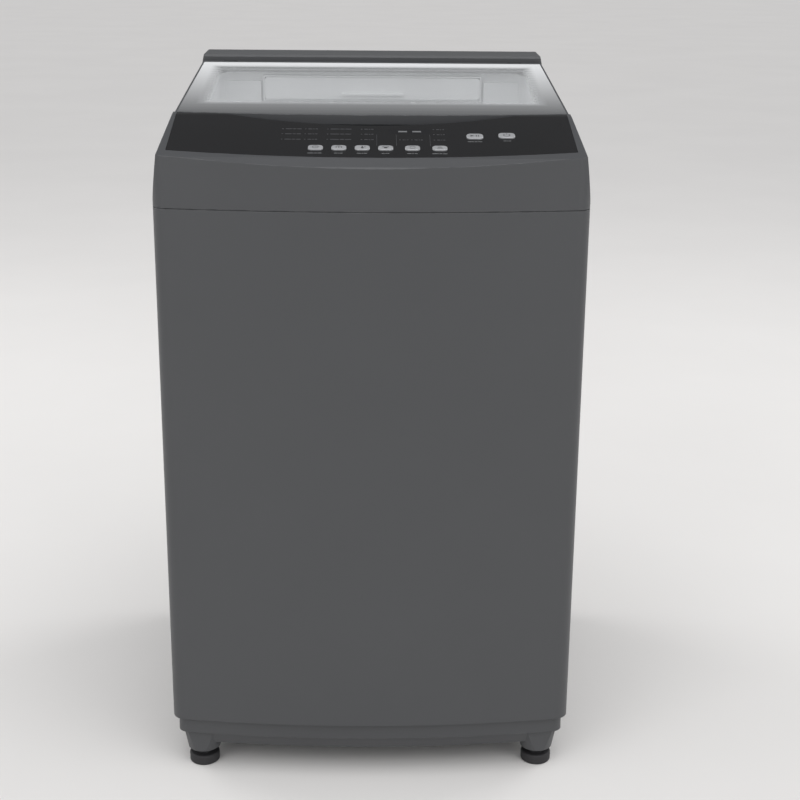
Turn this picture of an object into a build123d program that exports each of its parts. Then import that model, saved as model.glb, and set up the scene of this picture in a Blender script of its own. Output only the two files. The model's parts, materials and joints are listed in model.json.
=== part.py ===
from build123d import *
from math import cos, pi, radians, sin, sqrt, tan
import os

# A compact top load washing machine, in millimetres.  +Z is up, +Y points to the rear, and the
# origin is on the floor below the middle of the bounding box.  Distances called "back" are measured
# rearwards from the middle of the front face.

# Overall size
WIDTH = 540.0
DEPTH = 552.0
HEIGHT = 930.0
PORT_REACH = 14.0
FRONT_Y = -DEPTH / 2
REAR_Y = DEPTH / 2 - PORT_REACH
BODY_DEPTH = REAR_Y - FRONT_Y
AXIS_Y = (FRONT_Y + REAR_Y) / 2
WIDE = 700.0

# Outline of the body seen from above: a bowed front and rounded corners
BOW = 22.0
BOW_RADIUS = ((WIDTH / 2) ** 2 + BOW**2) / (2 * BOW)
FRONT_CORNER = 20.0
REAR_CORNER = 8.0

# Levels of the main shells
SKIRT_BOTTOM = 36.0
SKIRT_STEP = 55.0
CABINET_BOTTOM = 78.0
CABINET_TOP = 779.0
SEAM_GAP = 1.2
SHEET = 1.0
WALL = 3.0

# Profile of the top, from front to rear
CREASE_BACK = 2.0
CREASE_Z = 834.0
PANEL_BACK = 17.0
PANEL_Z = 843.0
PANEL_SLOPE = 14.5
LID_BACK = 152.0
LID_SLOPE = 8.0
LID_BOW = 14.0
DECK_BACK = 459.0
DECK_Z = 865.0
HOUSING_FRONT_Z = 928.5
SIDE_START_Z = 785.0
SIDE_MID_DRAW_IN = 9.5
SIDE_DRAW_IN = 22.0

# Control panel
FASCIA_INSET = 18.0
FASCIA_THICK = 3.0
BUTTON_STROKE = 0.8
BUTTON_RISE = 1.8
BUTTON_GAP = 0.3
SMALL_BUTTON = (18.5, 13.5)
LARGE_BUTTON = (21.0, 15.5)
BUTTON_ROW_BACK = 45.5
BUTTONS = {
    "button_delay": (-69.6, BUTTON_ROW_BACK, SMALL_BUTTON),
    "button_speed": (-40.9, BUTTON_ROW_BACK, SMALL_BUTTON),
    "button_temperature": (-12.2, BUTTON_ROW_BACK, SMALL_BUTTON),
    "button_soil": (16.5, BUTTON_ROW_BACK, SMALL_BUTTON),
    "button_cycle": (49.4, BUTTON_ROW_BACK, SMALL_BUTTON),
    "button_water_level": (83.0, BUTTON_ROW_BACK, SMALL_BUTTON),
    "button_start": (128.1, 83.0, LARGE_BUTTON),
    "button_power": (168.2, 86.0, LARGE_BUTTON),
}
STEM_RADIUS = 3.0
DISPLAY_CENTRE = (47.0, 99.0)
DISPLAY_SIZE = (52.0, 15.0)
LENS_THICK = 2.8
BOARD_DEPTH = 13.0
BOARD_THICK = 1.6

# Finger recess in front of the lid
GRIP_HALF = 200.0
GRIP_BACK = 119.0
GRIP_END_BACK = 160.0
GRIP_REAR_BACK = 174.0
GRIP_FLOOR_Z = 852.0
GRIP_WALL = 2.5

# Lid and hinge
LID_THICK = 12.0
LID_SIDE_GAP = 2.0
GLASS_THICK = 4.0
GLASS_SIDE = 5.0
GLASS_FRONT = 1.5
BARREL_RADIUS = 7.0
HINGE_BACK = 452.0
RAIL_DROP = 15.0
HINGE_X = 208.0
KNUCKLE_WIDTH = 20.0
KNUCKLE_RADIUS = 6.4
HINGE_GAP = 0.3
PIN_RADIUS = 2.5
PIN_PLAY = 0.06
PIN_LENGTH = 36.0
WINDOW_HALF = 228.0
WINDOW_FRONT_BACK = 206.0
WINDOW_REAR_BACK = 438.0

# Splash collar below the lid
WELL_HALF = 221.5
WELL_FRONT_BACK = 190.0
WELL_REAR_BACK = 443.0
WELL_CORNER = 26.0
COLLAR_WALL = 2.5
COLLAR_FLANGE = 12.0
FLANGE_THICK = 2.2
FUNNEL_TOP = 858.0
FUNNEL_BOTTOM = 776.0
MOUTH_RADIUS = 186.0
LEDGE_Z = 893.0
LEDGE_DEPTH = 8.0

# Detergent drawer
DRAWER_HALF = 157.0
DRAWER_BOTTOM = 868.0
DRAWER_TOP = 899.0
DRAWER_FRONT_Y = 150.0
DRAWER_REAR_Y = 240.0
DRAWER_PLATE = 4.0
DRAWER_WALL = 2.0
DRAWER_TRAVEL = 60.0
DRAWER_GAP = 0.4
HOUSING_WALL = 2.5

# Tub, basket and drive
TUB_RADIUS = 238.0
TUB_WALL = 3.0
TUB_BOTTOM = 205.0
TUB_TOP = 735.0
BASKET_RADIUS = 222.0
BASKET_BOTTOM = 232.0
BASKET_TOP = 702.0
RING_TOP = 741.0
RING_INNER = 176.0
SPIN_SHAFT_RADIUS = 15.0
WASH_SHAFT_RADIUS = 8.0
SHAFT_PLAY = 0.06
PULSATOR_RADIUS = 165.0
GEARBOX_RADIUS = 58.0
GEARBOX_BOTTOM = 110.0
BRACKET_Z = 192.0
BRACKET_THICK = 4.0
MOTOR_X = -135.0
MOTOR_RADIUS = 60.0
PULLEY_Z = 94.0
PULLEY_HEIGHT = 14.0
DRIVEN_RADIUS = 60.0
MOTOR_PULLEY_RADIUS = 20.0
BELT_THICK = 5.0
BELT_GAP = 0.3
BELT_HEIGHT = 9.0

# Suspension
ROD_OFFSET = 205.0
ROD_RADIUS = 4.0
ROD_BOTTOM = 288.0
ROD_SEAT = 299.0
SPRING_TOP = 396.0
SPRING_RADIUS = 17.0
SPRING_WIRE = 1.7
SPRING_TURNS = 8
LUG_BOTTOM = 400.0
LUG_THICK = 8.0
BRACKET_LEVEL = 752.0

# Feet
FOOT_X = 231.0
FOOT_FRONT_Y = FRONT_Y + 50.0
FOOT_REAR_Y = REAR_Y - 50.0
PAD_RADIUS = 20.5
PAD_HEIGHT = 14.0
STUD_RADIUS = 5.0
STUD_TOP = 70.0
BOSS_BOTTOM = 23.0
BOSS_FOOT_RADIUS = 22.0
BOSS_TOP_RADIUS = 29.0

# Ports on the rear
INLET_RADIUS = 13.2
INLET_BORE = 9.5
INLET_BORE_DEPTH = 8.0
VALVE_NECK_RADIUS = 11.5
VALVE_LENGTH = 45.0
VALVE_FLANGE_RADIUS = 18.0
VALVE_FLANGE_THICK = 4.0
VALVE_COIL_HALF = 14.0
HOUSING_SCREW_X = (-210.0, -70.0, 70.0)
HOUSING_SCREW_Z = 880.0
SCREW_SHANK_RADIUS = 2.0
PANEL_SCREW_LENGTH = 8.0
HOUSING_SCREW_LENGTH = 12.0
SCREW_HEAD_RADIUS = 4.0
SCREW_HEAD_RISE = 2.2
CAP_CORNER_SHARE = 0.36
INLET_X = {"hot": 190.0, "cold": 140.0}
INLET_Z = 832.0
DRAIN_X = 150.0
DRAIN_Z = 100.0
DRAIN_RADIUS = 12.0
DRAIN_BORE = 9.5
GLAND_X = -200.0
GLAND_Z = 740.0


# ---------------------------------------------------------------- helpers
def at(back):
    """Y of a point that lies this far behind the front face."""
    return FRONT_Y + back


def block(x, y, z):
    """Box between two corners, each argument a (low, high) pair."""
    size = Box(x[1] - x[0], y[1] - y[0], z[1] - z[0])
    return Pos((x[0] + x[1]) / 2, (y[0] + y[1]) / 2, (z[0] + z[1]) / 2) * size


def post(x, y, z, radius):
    """Upright cylinder between the two levels in z."""
    return Pos(x, y, (z[0] + z[1]) / 2) * Cylinder(radius, z[1] - z[0])


def tube(x, y, z, outer, inner):
    """Upright hollow cylinder between the two levels in z."""
    return post(x, y, z, outer) - post(x, y, (z[0] - 1, z[1] + 1), inner)


def cross_post(x, y, z, radius):
    """Cylinder along Y between the two places in y."""
    return Pos(x, (y[0] + y[1]) / 2, z) * Rot(90, 0, 0) * Cylinder(radius, y[1] - y[0])


def side_post(x, y, z, radius):
    """Cylinder along X between the two places in x."""
    return Pos((x[0] + x[1]) / 2, y, z) * Rot(0, 90, 0) * Cylinder(radius, x[1] - x[0])


def roof(back):
    """Height of the sloping top above a point this far back."""
    if back <= LID_BACK:
        return PANEL_Z + tan(radians(PANEL_SLOPE)) * (back - PANEL_BACK)
    return roof(LID_BACK) + tan(radians(LID_SLOPE)) * (back - LID_BACK)


def plan_face(inset=0.0):
    """Outline of the body seen from above, drawn in by inset."""
    half = WIDTH / 2 - inset
    radius = BOW_RADIUS - inset
    corner_y = FRONT_Y + inset + radius - sqrt(radius**2 - half**2)
    rear_y = REAR_Y - inset
    with BuildSketch() as outline:
        with BuildLine():
            ThreePointArc((-half, corner_y), (0, FRONT_Y + inset), (half, corner_y))
            Polyline((half, corner_y), (half, rear_y), (-half, rear_y), (-half, corner_y))
        make_face()
        corners = outline.vertices().sort_by(Axis.Y)
        fillet(corners[:2], max(FRONT_CORNER - inset, 1.5))
        corners = outline.vertices().sort_by(Axis.Y)
        fillet(corners[-2:], max(REAR_CORNER - inset, 1.5))
    return outline.sketch


def plan_prism(inset, z):
    """The plan outline as an upright prism between the two levels in z."""
    return extrude(Pos(0, 0, z[0]) * plan_face(inset), z[1] - z[0])


def front_prism(inset):
    """The front outline, with sides that draw in towards the top, as a prism along Y."""
    half = WIDTH / 2 - inset
    top = HEIGHT - inset
    mid_z = (SIDE_START_Z + HEIGHT) / 2
    mid_x = half - SIDE_MID_DRAW_IN
    with BuildSketch(Plane.XZ) as outline:
        with BuildLine():
            Polyline((-half, SIDE_START_Z), (-half, 0), (half, 0), (half, SIDE_START_Z))
            ThreePointArc((half, SIDE_START_Z), (mid_x, mid_z), (half - SIDE_DRAW_IN, HEIGHT))
            Polyline((half - SIDE_DRAW_IN, HEIGHT), (-half + SIDE_DRAW_IN, HEIGHT))
            ThreePointArc((-half + SIDE_DRAW_IN, HEIGHT), (-mid_x, mid_z), (-half, SIDE_START_Z))
        make_face()
    prism = extrude(outline.sketch, WIDE / 2, both=True)
    return prism & block((-WIDE, WIDE), (-WIDE, WIDE), (-1, top))


def side_prism(points):
    """A side profile of (back, z) points as a prism along X."""
    corners = [(at(back), z) for back, z in points]
    face = make_face(Polyline(*corners, close=True))
    return extrude(Plane.YZ * face, WIDE / 2, both=True)


def envelope(points, inset):
    """Solid with this side profile inside the plan and front outlines."""
    solid = side_prism(points) & plan_prism(inset, (CABINET_TOP - 10, HEIGHT + 10))
    return solid & front_prism(inset)


def behind_lid_edge(shift):
    """Everything behind the bowed front edge of the lid, moved back by shift."""
    edge = at(LID_BACK + shift)
    half = WIDTH / 2
    with BuildSketch() as region:
        with BuildLine():
            ThreePointArc((-half, edge + LID_BOW), (0, edge), (half, edge + LID_BOW))
            Polyline((half, edge + LID_BOW), (half, WIDE), (-half, WIDE), (-half, edge + LID_BOW))
        make_face()
    return extrude(region.sketch, HEIGHT * 1.1)


def roof_band(top_drop, bottom_drop, start=PANEL_BACK, end=LID_BACK + LID_BOW):
    """Layer between two depths below the sloping top, from start to end."""
    backs = [start, LID_BACK, end] if start < LID_BACK < end else [start, end]
    upper = [(back, roof(back) - top_drop) for back in backs]
    lower = [(back, roof(back) - bottom_drop) for back in reversed(backs)]
    return side_prism(upper + lower)


def rounded_prism(half_x, y, corner, z):
    """Upright prism of a rounded rectangle centred on X."""
    face = RectangleRounded(2 * half_x, y[1] - y[0], corner)
    return extrude(Pos(0, (y[0] + y[1]) / 2, z[0]) * face, z[1] - z[0])


def panel_plane(x, back, lift=0.0):
    """Plane on the control panel at this place, its normal out of the panel."""
    normal = Vector(0, -sin(radians(PANEL_SLOPE)), cos(radians(PANEL_SLOPE)))
    return Plane(Vector(x, at(back), roof(back)) + normal * lift, x_dir=(1, 0, 0), z_dir=normal)


def panel_pill(x, back, size, low, high):
    """Pad with rounded corners on the panel, between two heights along its normal."""
    corner = CAP_CORNER_SHARE * min(size)
    face = panel_plane(x, back, low) * RectangleRounded(size[0], size[1], corner)
    return extrude(face, high - low)


def ring_of(count, radius, start=0.0):
    """Places on a circle about the tub axis, as (x, y, angle)."""
    for step in range(count):
        angle = start + 360.0 * step / count
        yield radius * cos(radians(angle)), AXIS_Y + radius * sin(radians(angle)), angle


def corners():
    """Signs of the four corners: (x sign, y sign)."""
    return [(sx, sy) for sy in (-1, 1) for sx in (-1, 1)]


# ---------------------------------------------------------------- body shells
def make_cabinet():
    """Painted steel wrap: front and sides in one sheet, with flanges all round."""
    levels = (CABINET_BOTTOM, CABINET_TOP)
    wrap = plan_prism(0, levels) - plan_prism(SHEET, (0, HEIGHT))
    flange_width = 22.0
    for low in (CABINET_BOTTOM, CABINET_TOP - SHEET):
        flange = plan_prism(SHEET, (low, low + SHEET)) - plan_prism(flange_width, (0, HEIGHT))
        wrap += flange
    half = WIDTH / 2 - flange_width
    rear = (REAR_Y - flange_width - 1, REAR_Y + 1)
    wrap -= block((-half, half), rear, (0, HEIGHT))
    for x, z in rear_screw_places():
        wrap -= cross_post(x, (REAR_Y - 5, REAR_Y + 1), z, 2.0)
    return wrap


def rear_screw_places():
    """Screws that hold the rear panel to the side flanges."""
    levels = [CABINET_BOTTOM + 30 + 160 * step for step in range(5)]
    return [(side * (WIDTH / 2 - 14), z) for z in levels for side in (-1, 1)]


def make_rear_panel():
    """Flat rear sheet with a pressed field, louvres and the port holes."""
    half = WIDTH / 2 - REAR_CORNER - SHEET
    y = (REAR_Y - 2 * SHEET, REAR_Y - SHEET)
    panel = block((-half, half), y, (CABINET_BOTTOM + SHEET, CABINET_TOP - SHEET))
    pressed = 4.0
    field_x = (-200.0, 200.0)
    field_z = (180.0, 690.0)
    dish = block(field_x, (y[0] - pressed, y[1]), field_z)
    dish = fillet(dish.edges().filter_by(Axis.Y), 30)
    inner = block((field_x[0] + 1, field_x[1] - 1), (y[0] - pressed + SHEET, y[1] + 1), (181.0, 689.0))
    inner = fillet(inner.edges().filter_by(Axis.Y), 29)
    panel = panel + dish - inner
    for z in range(240, 361, 20):
        panel -= block((-60, 60), (REAR_Y - 10, REAR_Y), (z, z + 5))
    panel -= cross_post(DRAIN_X, (REAR_Y - 10, REAR_Y), DRAIN_Z, DRAIN_RADIUS + 1)
    panel -= cross_post(GLAND_X, (REAR_Y - 10, REAR_Y), GLAND_Z, 9.0)
    for x, z in rear_screw_places():
        panel -= cross_post(x, (REAR_Y - 5, REAR_Y + 1), z, 2.0)
    return panel


def screw(x, z, shank_length):
    """Pan head screw driven forwards into the rear wall."""
    shank = cross_post(x, (REAR_Y - shank_length, REAR_Y), z, SCREW_SHANK_RADIUS)
    return shank + cross_post(x, (REAR_Y, REAR_Y + SCREW_HEAD_RISE), z, SCREW_HEAD_RADIUS)


def make_rear_screws():
    """Ten screws of the rear panel and three of the rear housing."""
    screws = [screw(x, z, PANEL_SCREW_LENGTH) for x, z in rear_screw_places()]
    screws += [screw(x, HOUSING_SCREW_Z, HOUSING_SCREW_LENGTH) for x in HOUSING_SCREW_X]
    return Compound(children=screws)


def make_base_frame():
    """Moulded skirt with a stepped, tapered lower band and a boss for each foot."""
    inset = 7.0
    step_inset = 12.0
    foot_inset = 18.0
    upper = plan_prism(inset, (SKIRT_STEP, CABINET_BOTTOM))
    top_face = Pos(0, 0, SKIRT_STEP) * plan_face(step_inset)
    low_face = Pos(0, 0, SKIRT_BOTTOM) * plan_face(foot_inset)
    lower = loft([low_face, top_face], ruled=True)
    hollow = plan_prism(inset + WALL, (SKIRT_STEP + WALL, CABINET_BOTTOM - WALL))
    opening = plan_prism(foot_inset + 6, (0, HEIGHT))
    frame = upper + lower - hollow - opening
    bosses_inside = plan_prism(step_inset, (0, HEIGHT))
    for sx, y in foot_places():
        cone_height = SKIRT_STEP + 5 - BOSS_BOTTOM
        cone = Cone(BOSS_FOOT_RADIUS, BOSS_TOP_RADIUS, cone_height)
        frame += Pos(sx * FOOT_X, y, BOSS_BOTTOM + cone_height / 2) * cone & bosses_inside
    tray_y = (118.0, REAR_Y - foot_inset - 5)
    tray = block((-WIDTH / 2 + 20, WIDTH / 2 - 20), tray_y, (SKIRT_STEP, SKIRT_STEP + WALL))
    frame += tray & plan_prism(inset + WALL / 2, (0, HEIGHT))
    for sx, y in foot_places():
        frame -= post(sx * FOOT_X, y, (0, HEIGHT), STUD_RADIUS + SHAFT_PLAY)
    return frame


def foot_places():
    """Side sign and Y of each foot, front pair first."""
    return [(sx, y) for y in (FOOT_FRONT_Y, FOOT_REAR_Y) for sx in (-1, 1)]


def make_foot(x, y):
    """Rubber pad with a hexagonal collar and a threaded stud."""
    pad = fillet(post(x, y, (0, PAD_HEIGHT), PAD_RADIUS).edges(), 2.5)
    collar = extrude(Pos(x, y, PAD_HEIGHT) * RegularPolygon(12, 6), 7)
    return pad + collar + post(x, y, (PAD_HEIGHT - 2, STUD_TOP), STUD_RADIUS)


# ---------------------------------------------------------------- top cover
def make_top_cover():
    """Moulded top: console front, side rails for the lid and a rear deck."""
    crest = roof(DECK_BACK)
    outer = envelope(
        [(0, CABINET_TOP), (0, CREASE_Z - 2), (CREASE_BACK, CREASE_Z), (PANEL_BACK, PANEL_Z),
         (LID_BACK, roof(LID_BACK)), (DECK_BACK, crest), (DECK_BACK, DECK_Z),
         (BODY_DEPTH, DECK_Z), (BODY_DEPTH, CABINET_TOP)], 0)
    shell_drop = FASCIA_THICK + WALL
    inner = envelope(
        [(WALL, 0), (WALL, CREASE_Z - 5), (PANEL_BACK + 4, PANEL_Z - shell_drop),
         (LID_BACK, roof(LID_BACK) - shell_drop), (DECK_BACK - WALL, roof(DECK_BACK) - shell_drop),
         (DECK_BACK - WALL, DECK_Z - WALL), (BODY_DEPTH - WALL, DECK_Z - WALL),
         (BODY_DEPTH - WALL, 0)], WALL)
    pocket = side_prism(
        [(LID_BACK - 20, roof(LID_BACK - 20) - RAIL_DROP + 2), (LID_BACK, roof(LID_BACK) - RAIL_DROP),
         (DECK_BACK, crest - RAIL_DROP), (DECK_BACK, HEIGHT + 50), (LID_BACK - 20, HEIGHT + 50)])
    pocket = pocket & behind_lid_edge(-0.6)
    pocket_wall = side_prism(
        [(LID_BACK - 20, 850), (LID_BACK, roof(LID_BACK) - RAIL_DROP - WALL),
         (DECK_BACK, crest - RAIL_DROP - WALL), (DECK_BACK, HEIGHT + 50), (LID_BACK - 20, HEIGHT + 50)])
    pocket_wall = pocket_wall & behind_lid_edge(-0.6 - WALL)
    cover = outer - pocket - (inner - pocket_wall)
    cover += grip_prism(GRIP_WALL, GRIP_FLOOR_Z - GRIP_WALL) & envelope_below_rail()
    cover -= grip_prism(0, GRIP_FLOOR_Z)
    well_y = (at(WELL_FRONT_BACK) - COLLAR_WALL - 0.3, at(WELL_REAR_BACK) + COLLAR_WALL + 0.3)
    well_corner = WELL_CORNER + COLLAR_WALL + 0.3
    well = rounded_prism(WELL_HALF + COLLAR_WALL + 0.3, well_y, well_corner, (0, HEIGHT))
    cover -= well
    seat = roof_band(-20, FASCIA_THICK) & fascia_plan(0.3)
    cover -= seat
    for x, back, size in BUTTONS.values():
        cover -= panel_pill(x, back, (9, 9), -20, 5)
    display = (DISPLAY_SIZE[0] - 6, DISPLAY_SIZE[1] - 5)
    cover -= panel_pill(*DISPLAY_CENTRE, display, -20, 5)
    for x in INLET_X.values():
        cover -= cross_post(x, (REAR_Y - 10, REAR_Y + 5), INLET_Z, INLET_RADIUS + 0.4)
    opening = DRAWER_HALF + HOUSING_WALL + 0.7
    cover -= block((-opening, opening), (at(WELL_REAR_BACK), at(DECK_BACK) + 1), (DECK_Z, 901.6))
    groove = plan_prism(-5, (CABINET_TOP - 1, CABINET_TOP + SEAM_GAP)) - plan_prism(1.2, (0, HEIGHT))
    return cover - groove


def envelope_below_rail():
    """Space inside the side walls and below the rails that carry the lid."""
    return envelope(
        [(0, CABINET_TOP), (0, PANEL_Z - 20), (PANEL_BACK, PANEL_Z - FASCIA_THICK),
         (LID_BACK, roof(LID_BACK) - FASCIA_THICK), (LID_BACK + 0.1, roof(LID_BACK) - RAIL_DROP),
         (DECK_BACK, roof(DECK_BACK) - RAIL_DROP), (DECK_BACK, CABINET_TOP)], WALL / 2)


def grip_face():
    """Crescent of the finger recess, seen from above."""
    end = at(GRIP_END_BACK)
    rear = at(GRIP_REAR_BACK)
    with BuildSketch() as crescent:
        with BuildLine():
            ThreePointArc((-GRIP_HALF, end), (0, at(GRIP_BACK)), (GRIP_HALF, end))
            Polyline((GRIP_HALF, end), (GRIP_HALF, rear), (-GRIP_HALF, rear), (-GRIP_HALF, end))
        make_face()
    return crescent.sketch


def grip_prism(growth, floor_z):
    """Finger recess as a prism from its floor upwards, grown sideways by growth."""
    face = grip_face()
    if growth:
        face = offset(face, growth)
    return extrude(Pos(0, 0, floor_z) * face, HEIGHT * 1.1 - floor_z)


def fascia_plan(gap):
    """Plan of the control panel: inside the body outline, in front of the lid and the recess."""
    plan = plan_prism(FASCIA_INSET - gap, (0, HEIGHT * 1.1))
    plan -= behind_lid_edge(-2.0 + gap)
    return plan


def make_control_fascia():
    """Gloss panel with a hole for each button and for the display."""
    fascia = roof_band(0, FASCIA_THICK) & fascia_plan(0)
    fascia -= grip_prism(0.5, 0)
    for x, back, size in BUTTONS.values():
        grown = (size[0] + 2 * BUTTON_GAP, size[1] + 2 * BUTTON_GAP)
        fascia -= panel_pill(x, back, grown, -10, 10)
    fascia -= panel_pill(*DISPLAY_CENTRE, DISPLAY_SIZE, -10, 10)
    return fascia


def make_display_lens():
    """Smoked window, flush with the panel."""
    size = (DISPLAY_SIZE[0] - 0.2, DISPLAY_SIZE[1] - 0.2)
    return panel_pill(*DISPLAY_CENTRE, size, -LENS_THICK, 0)


def make_control_board():
    """Circuit board with tact switches, display unit and a relay, below the panel."""
    centre = panel_plane(45, 74, -BOARD_DEPTH)
    board = extrude(centre * Rectangle(300, 74), BOARD_THICK)
    for x, back, size in BUTTONS.values():
        board += extrude(panel_plane(x, back, -BOARD_DEPTH) * Rectangle(6, 6), BOARD_THICK + 2.5)
    board += extrude(panel_plane(*DISPLAY_CENTRE, -BOARD_DEPTH) * Rectangle(46, 11), BOARD_THICK + 5)
    board += extrude(panel_plane(-80, 90, -BOARD_DEPTH - 14) * Rectangle(28, 18), 14)
    return board


def make_button(x, back, size):
    """Cap with a stem that reaches down to its tact switch."""
    cap = panel_pill(x, back, size, BUTTON_STROKE + 0.2 - FASCIA_THICK, BUTTON_RISE)
    top = cap.faces().sort_by(Axis.Z)[-1]
    cap = fillet(top.edges(), 1.2)
    switch_top = -BOARD_DEPTH + BOARD_THICK + 2.5
    stem_low = switch_top + BUTTON_STROKE + 0.2
    stem = extrude(panel_plane(x, back, stem_low) * Circle(STEM_RADIUS), -stem_low)
    return cap + stem


# ---------------------------------------------------------------- lid
def hinge_axis():
    """Y and Z of the lid's hinge line."""
    drop = BARREL_RADIUS / cos(radians(LID_SLOPE))
    return at(HINGE_BACK), roof(HINGE_BACK) - drop


def knuckle_gaps():
    """The two notches in the barrel where the hinge brackets stand."""
    axis_y, axis_z = hinge_axis()
    for side in (-1, 1):
        low = side * HINGE_X - KNUCKLE_WIDTH / 2
        high = side * HINGE_X + KNUCKLE_WIDTH / 2
        yield block((low, high), (axis_y - BARREL_RADIUS - 2, axis_y + 20), (axis_z - 20, axis_z + 20))


def make_lid_frame():
    """Moulded frame of the lid with its hinge barrel at the rear."""
    axis_y, axis_z = hinge_axis()
    plate = roof_band(0, LID_THICK, LID_BACK, HINGE_BACK) & behind_lid_edge(0)
    barrel = side_post((-WIDTH / 2, WIDTH / 2), axis_y, axis_z, BARREL_RADIUS)
    frame = (plate + barrel) & front_prism(LID_SIDE_GAP)
    frame -= glass_blank(0.0)
    window_y = (at(WINDOW_FRONT_BACK), at(WINDOW_REAR_BACK))
    frame -= rounded_prism(WINDOW_HALF, window_y, 12, (0, HEIGHT * 1.1))
    for gap in knuckle_gaps():
        frame -= gap
    for side in (-1, 1):
        reach = sorted((side * (HINGE_X - PIN_LENGTH / 2), side * (HINGE_X + PIN_LENGTH / 2)))
        frame -= side_post(reach, axis_y, axis_z, PIN_RADIUS + PIN_PLAY)
    return frame - make_lid_magnet()


def glass_blank(gap):
    """Tempered glass plate, flush with the top of the lid frame."""
    glass = roof_band(0, GLASS_THICK, LID_BACK, HINGE_BACK - BARREL_RADIUS - 2)
    glass = glass & behind_lid_edge(GLASS_FRONT + gap)
    return glass & front_prism(LID_SIDE_GAP + GLASS_SIDE / 2 + gap)


def make_lid_bumpers():
    """Four soft pads below the lid that rest on the collar."""
    pads = []
    for side in (-1, 1):
        for back in (215.0, 425.0):
            pad = roof_band(LID_THICK, RAIL_DROP - FLANGE_THICK, back - 5, back + 5)
            pads.append(pad & post(side * (WELL_HALF + 9), at(back), (0, HEIGHT), 4.0))
    return Compound(children=pads)


def make_lid_magnet():
    """Small magnet in the lid frame that works the lid sensor."""
    return roof_band(GLASS_THICK + 2, LID_THICK - 0.5, 300, 316) & block(
        (238, 244), (at(300), at(316)), (0, HEIGHT)
    )


def make_hinge_brackets():
    """Two upright knuckles that carry the lid's pins."""
    axis_y, axis_z = hinge_axis()
    brackets = []
    for side in (-1, 1):
        half = KNUCKLE_WIDTH / 2 - HINGE_GAP
        x = (side * HINGE_X - half, side * HINGE_X + half)
        arm = block(x, (axis_y - 5, axis_y + 5), (axis_z - 20, axis_z))
        foot = side_prism(
            [(HINGE_BACK - 6, roof(HINGE_BACK - 6) - RAIL_DROP),
             (HINGE_BACK + 6, roof(HINGE_BACK + 6) - RAIL_DROP),
             (HINGE_BACK + 6, HEIGHT + 20), (HINGE_BACK - 6, HEIGHT + 20)])
        knuckle = side_post(x, axis_y, axis_z, KNUCKLE_RADIUS) + (arm & foot)
        brackets.append(knuckle - side_post((x[0] - 1, x[1] + 1), axis_y, axis_z, PIN_RADIUS))
    return Compound(children=brackets)


def make_hinge_pins():
    """Steel pins through the knuckles into the lid's barrel."""
    axis_y, axis_z = hinge_axis()
    half = PIN_LENGTH / 2 - 0.5
    pins = []
    for side in (-1, 1):
        x = (side * HINGE_X - half, side * HINGE_X + half)
        pins.append(side_post(x, axis_y, axis_z, PIN_RADIUS))
    return Compound(children=pins)


def make_lid_sensor():
    """Reed switch under the side rail, below the magnet."""
    low = roof(308) - RAIL_DROP - WALL
    return block((236, 246), (at(300), at(316)), (low - 8, low - 1.2))


# ---------------------------------------------------------------- rear housing
def make_rear_housing():
    """Cap behind the lid that covers the drawer and the inlet valves."""
    front = DECK_BACK + 0.8
    outer = envelope(
        [(front, DECK_Z), (front, HOUSING_FRONT_Z - 3), (front + 3, HOUSING_FRONT_Z),
         (BODY_DEPTH - 6, HEIGHT), (BODY_DEPTH, HEIGHT - 5), (BODY_DEPTH, DECK_Z)], 0)
    inner = envelope(
        [(front + WALL, 0), (front + WALL, HOUSING_FRONT_Z - WALL), (BODY_DEPTH - 2 * WALL, HEIGHT - WALL),
         (BODY_DEPTH - WALL, HEIGHT - 3 * WALL), (BODY_DEPTH - WALL, 0)], WALL)
    cap = outer - inner
    opening = DRAWER_HALF + HOUSING_WALL + 0.7
    cap -= block((-opening, opening), (at(DECK_BACK), at(DECK_BACK) + 10), (DECK_Z - 1, 901.6))
    for x in HOUSING_SCREW_X:
        cap -= cross_post(x, (REAR_Y - 8, REAR_Y + 1), HOUSING_SCREW_Z, SCREW_SHANK_RADIUS)
    return cap


def make_inlet_valves():
    """Hot and cold solenoid valves with threaded inlets behind the rear wall."""
    inner_wall = REAR_Y - WALL
    tip = REAR_Y + PORT_REACH
    bore_end = REAR_Y - INLET_BORE_DEPTH
    coil_top = DECK_Z - WALL - 2
    valves = []
    for x in INLET_X.values():
        valve = cross_post(x, (inner_wall - VALVE_LENGTH, tip), INLET_Z, VALVE_NECK_RADIUS)
        valve += cross_post(x, (REAR_Y, tip), INLET_Z, INLET_RADIUS)
        valve += cross_post(x, (inner_wall - VALVE_FLANGE_THICK, inner_wall), INLET_Z, VALVE_FLANGE_RADIUS)
        coil_x = (x - VALVE_COIL_HALF, x + VALVE_COIL_HALF)
        coil_y = (inner_wall - VALVE_LENGTH + 3, inner_wall - 2 * VALVE_FLANGE_THICK)
        valve += block(coil_x, coil_y, (INLET_Z, coil_top))
        valve -= cross_post(x, (bore_end, tip + 1), INLET_Z, INLET_BORE)
        valves.append(valve)
    return Compound(children=valves)


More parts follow.
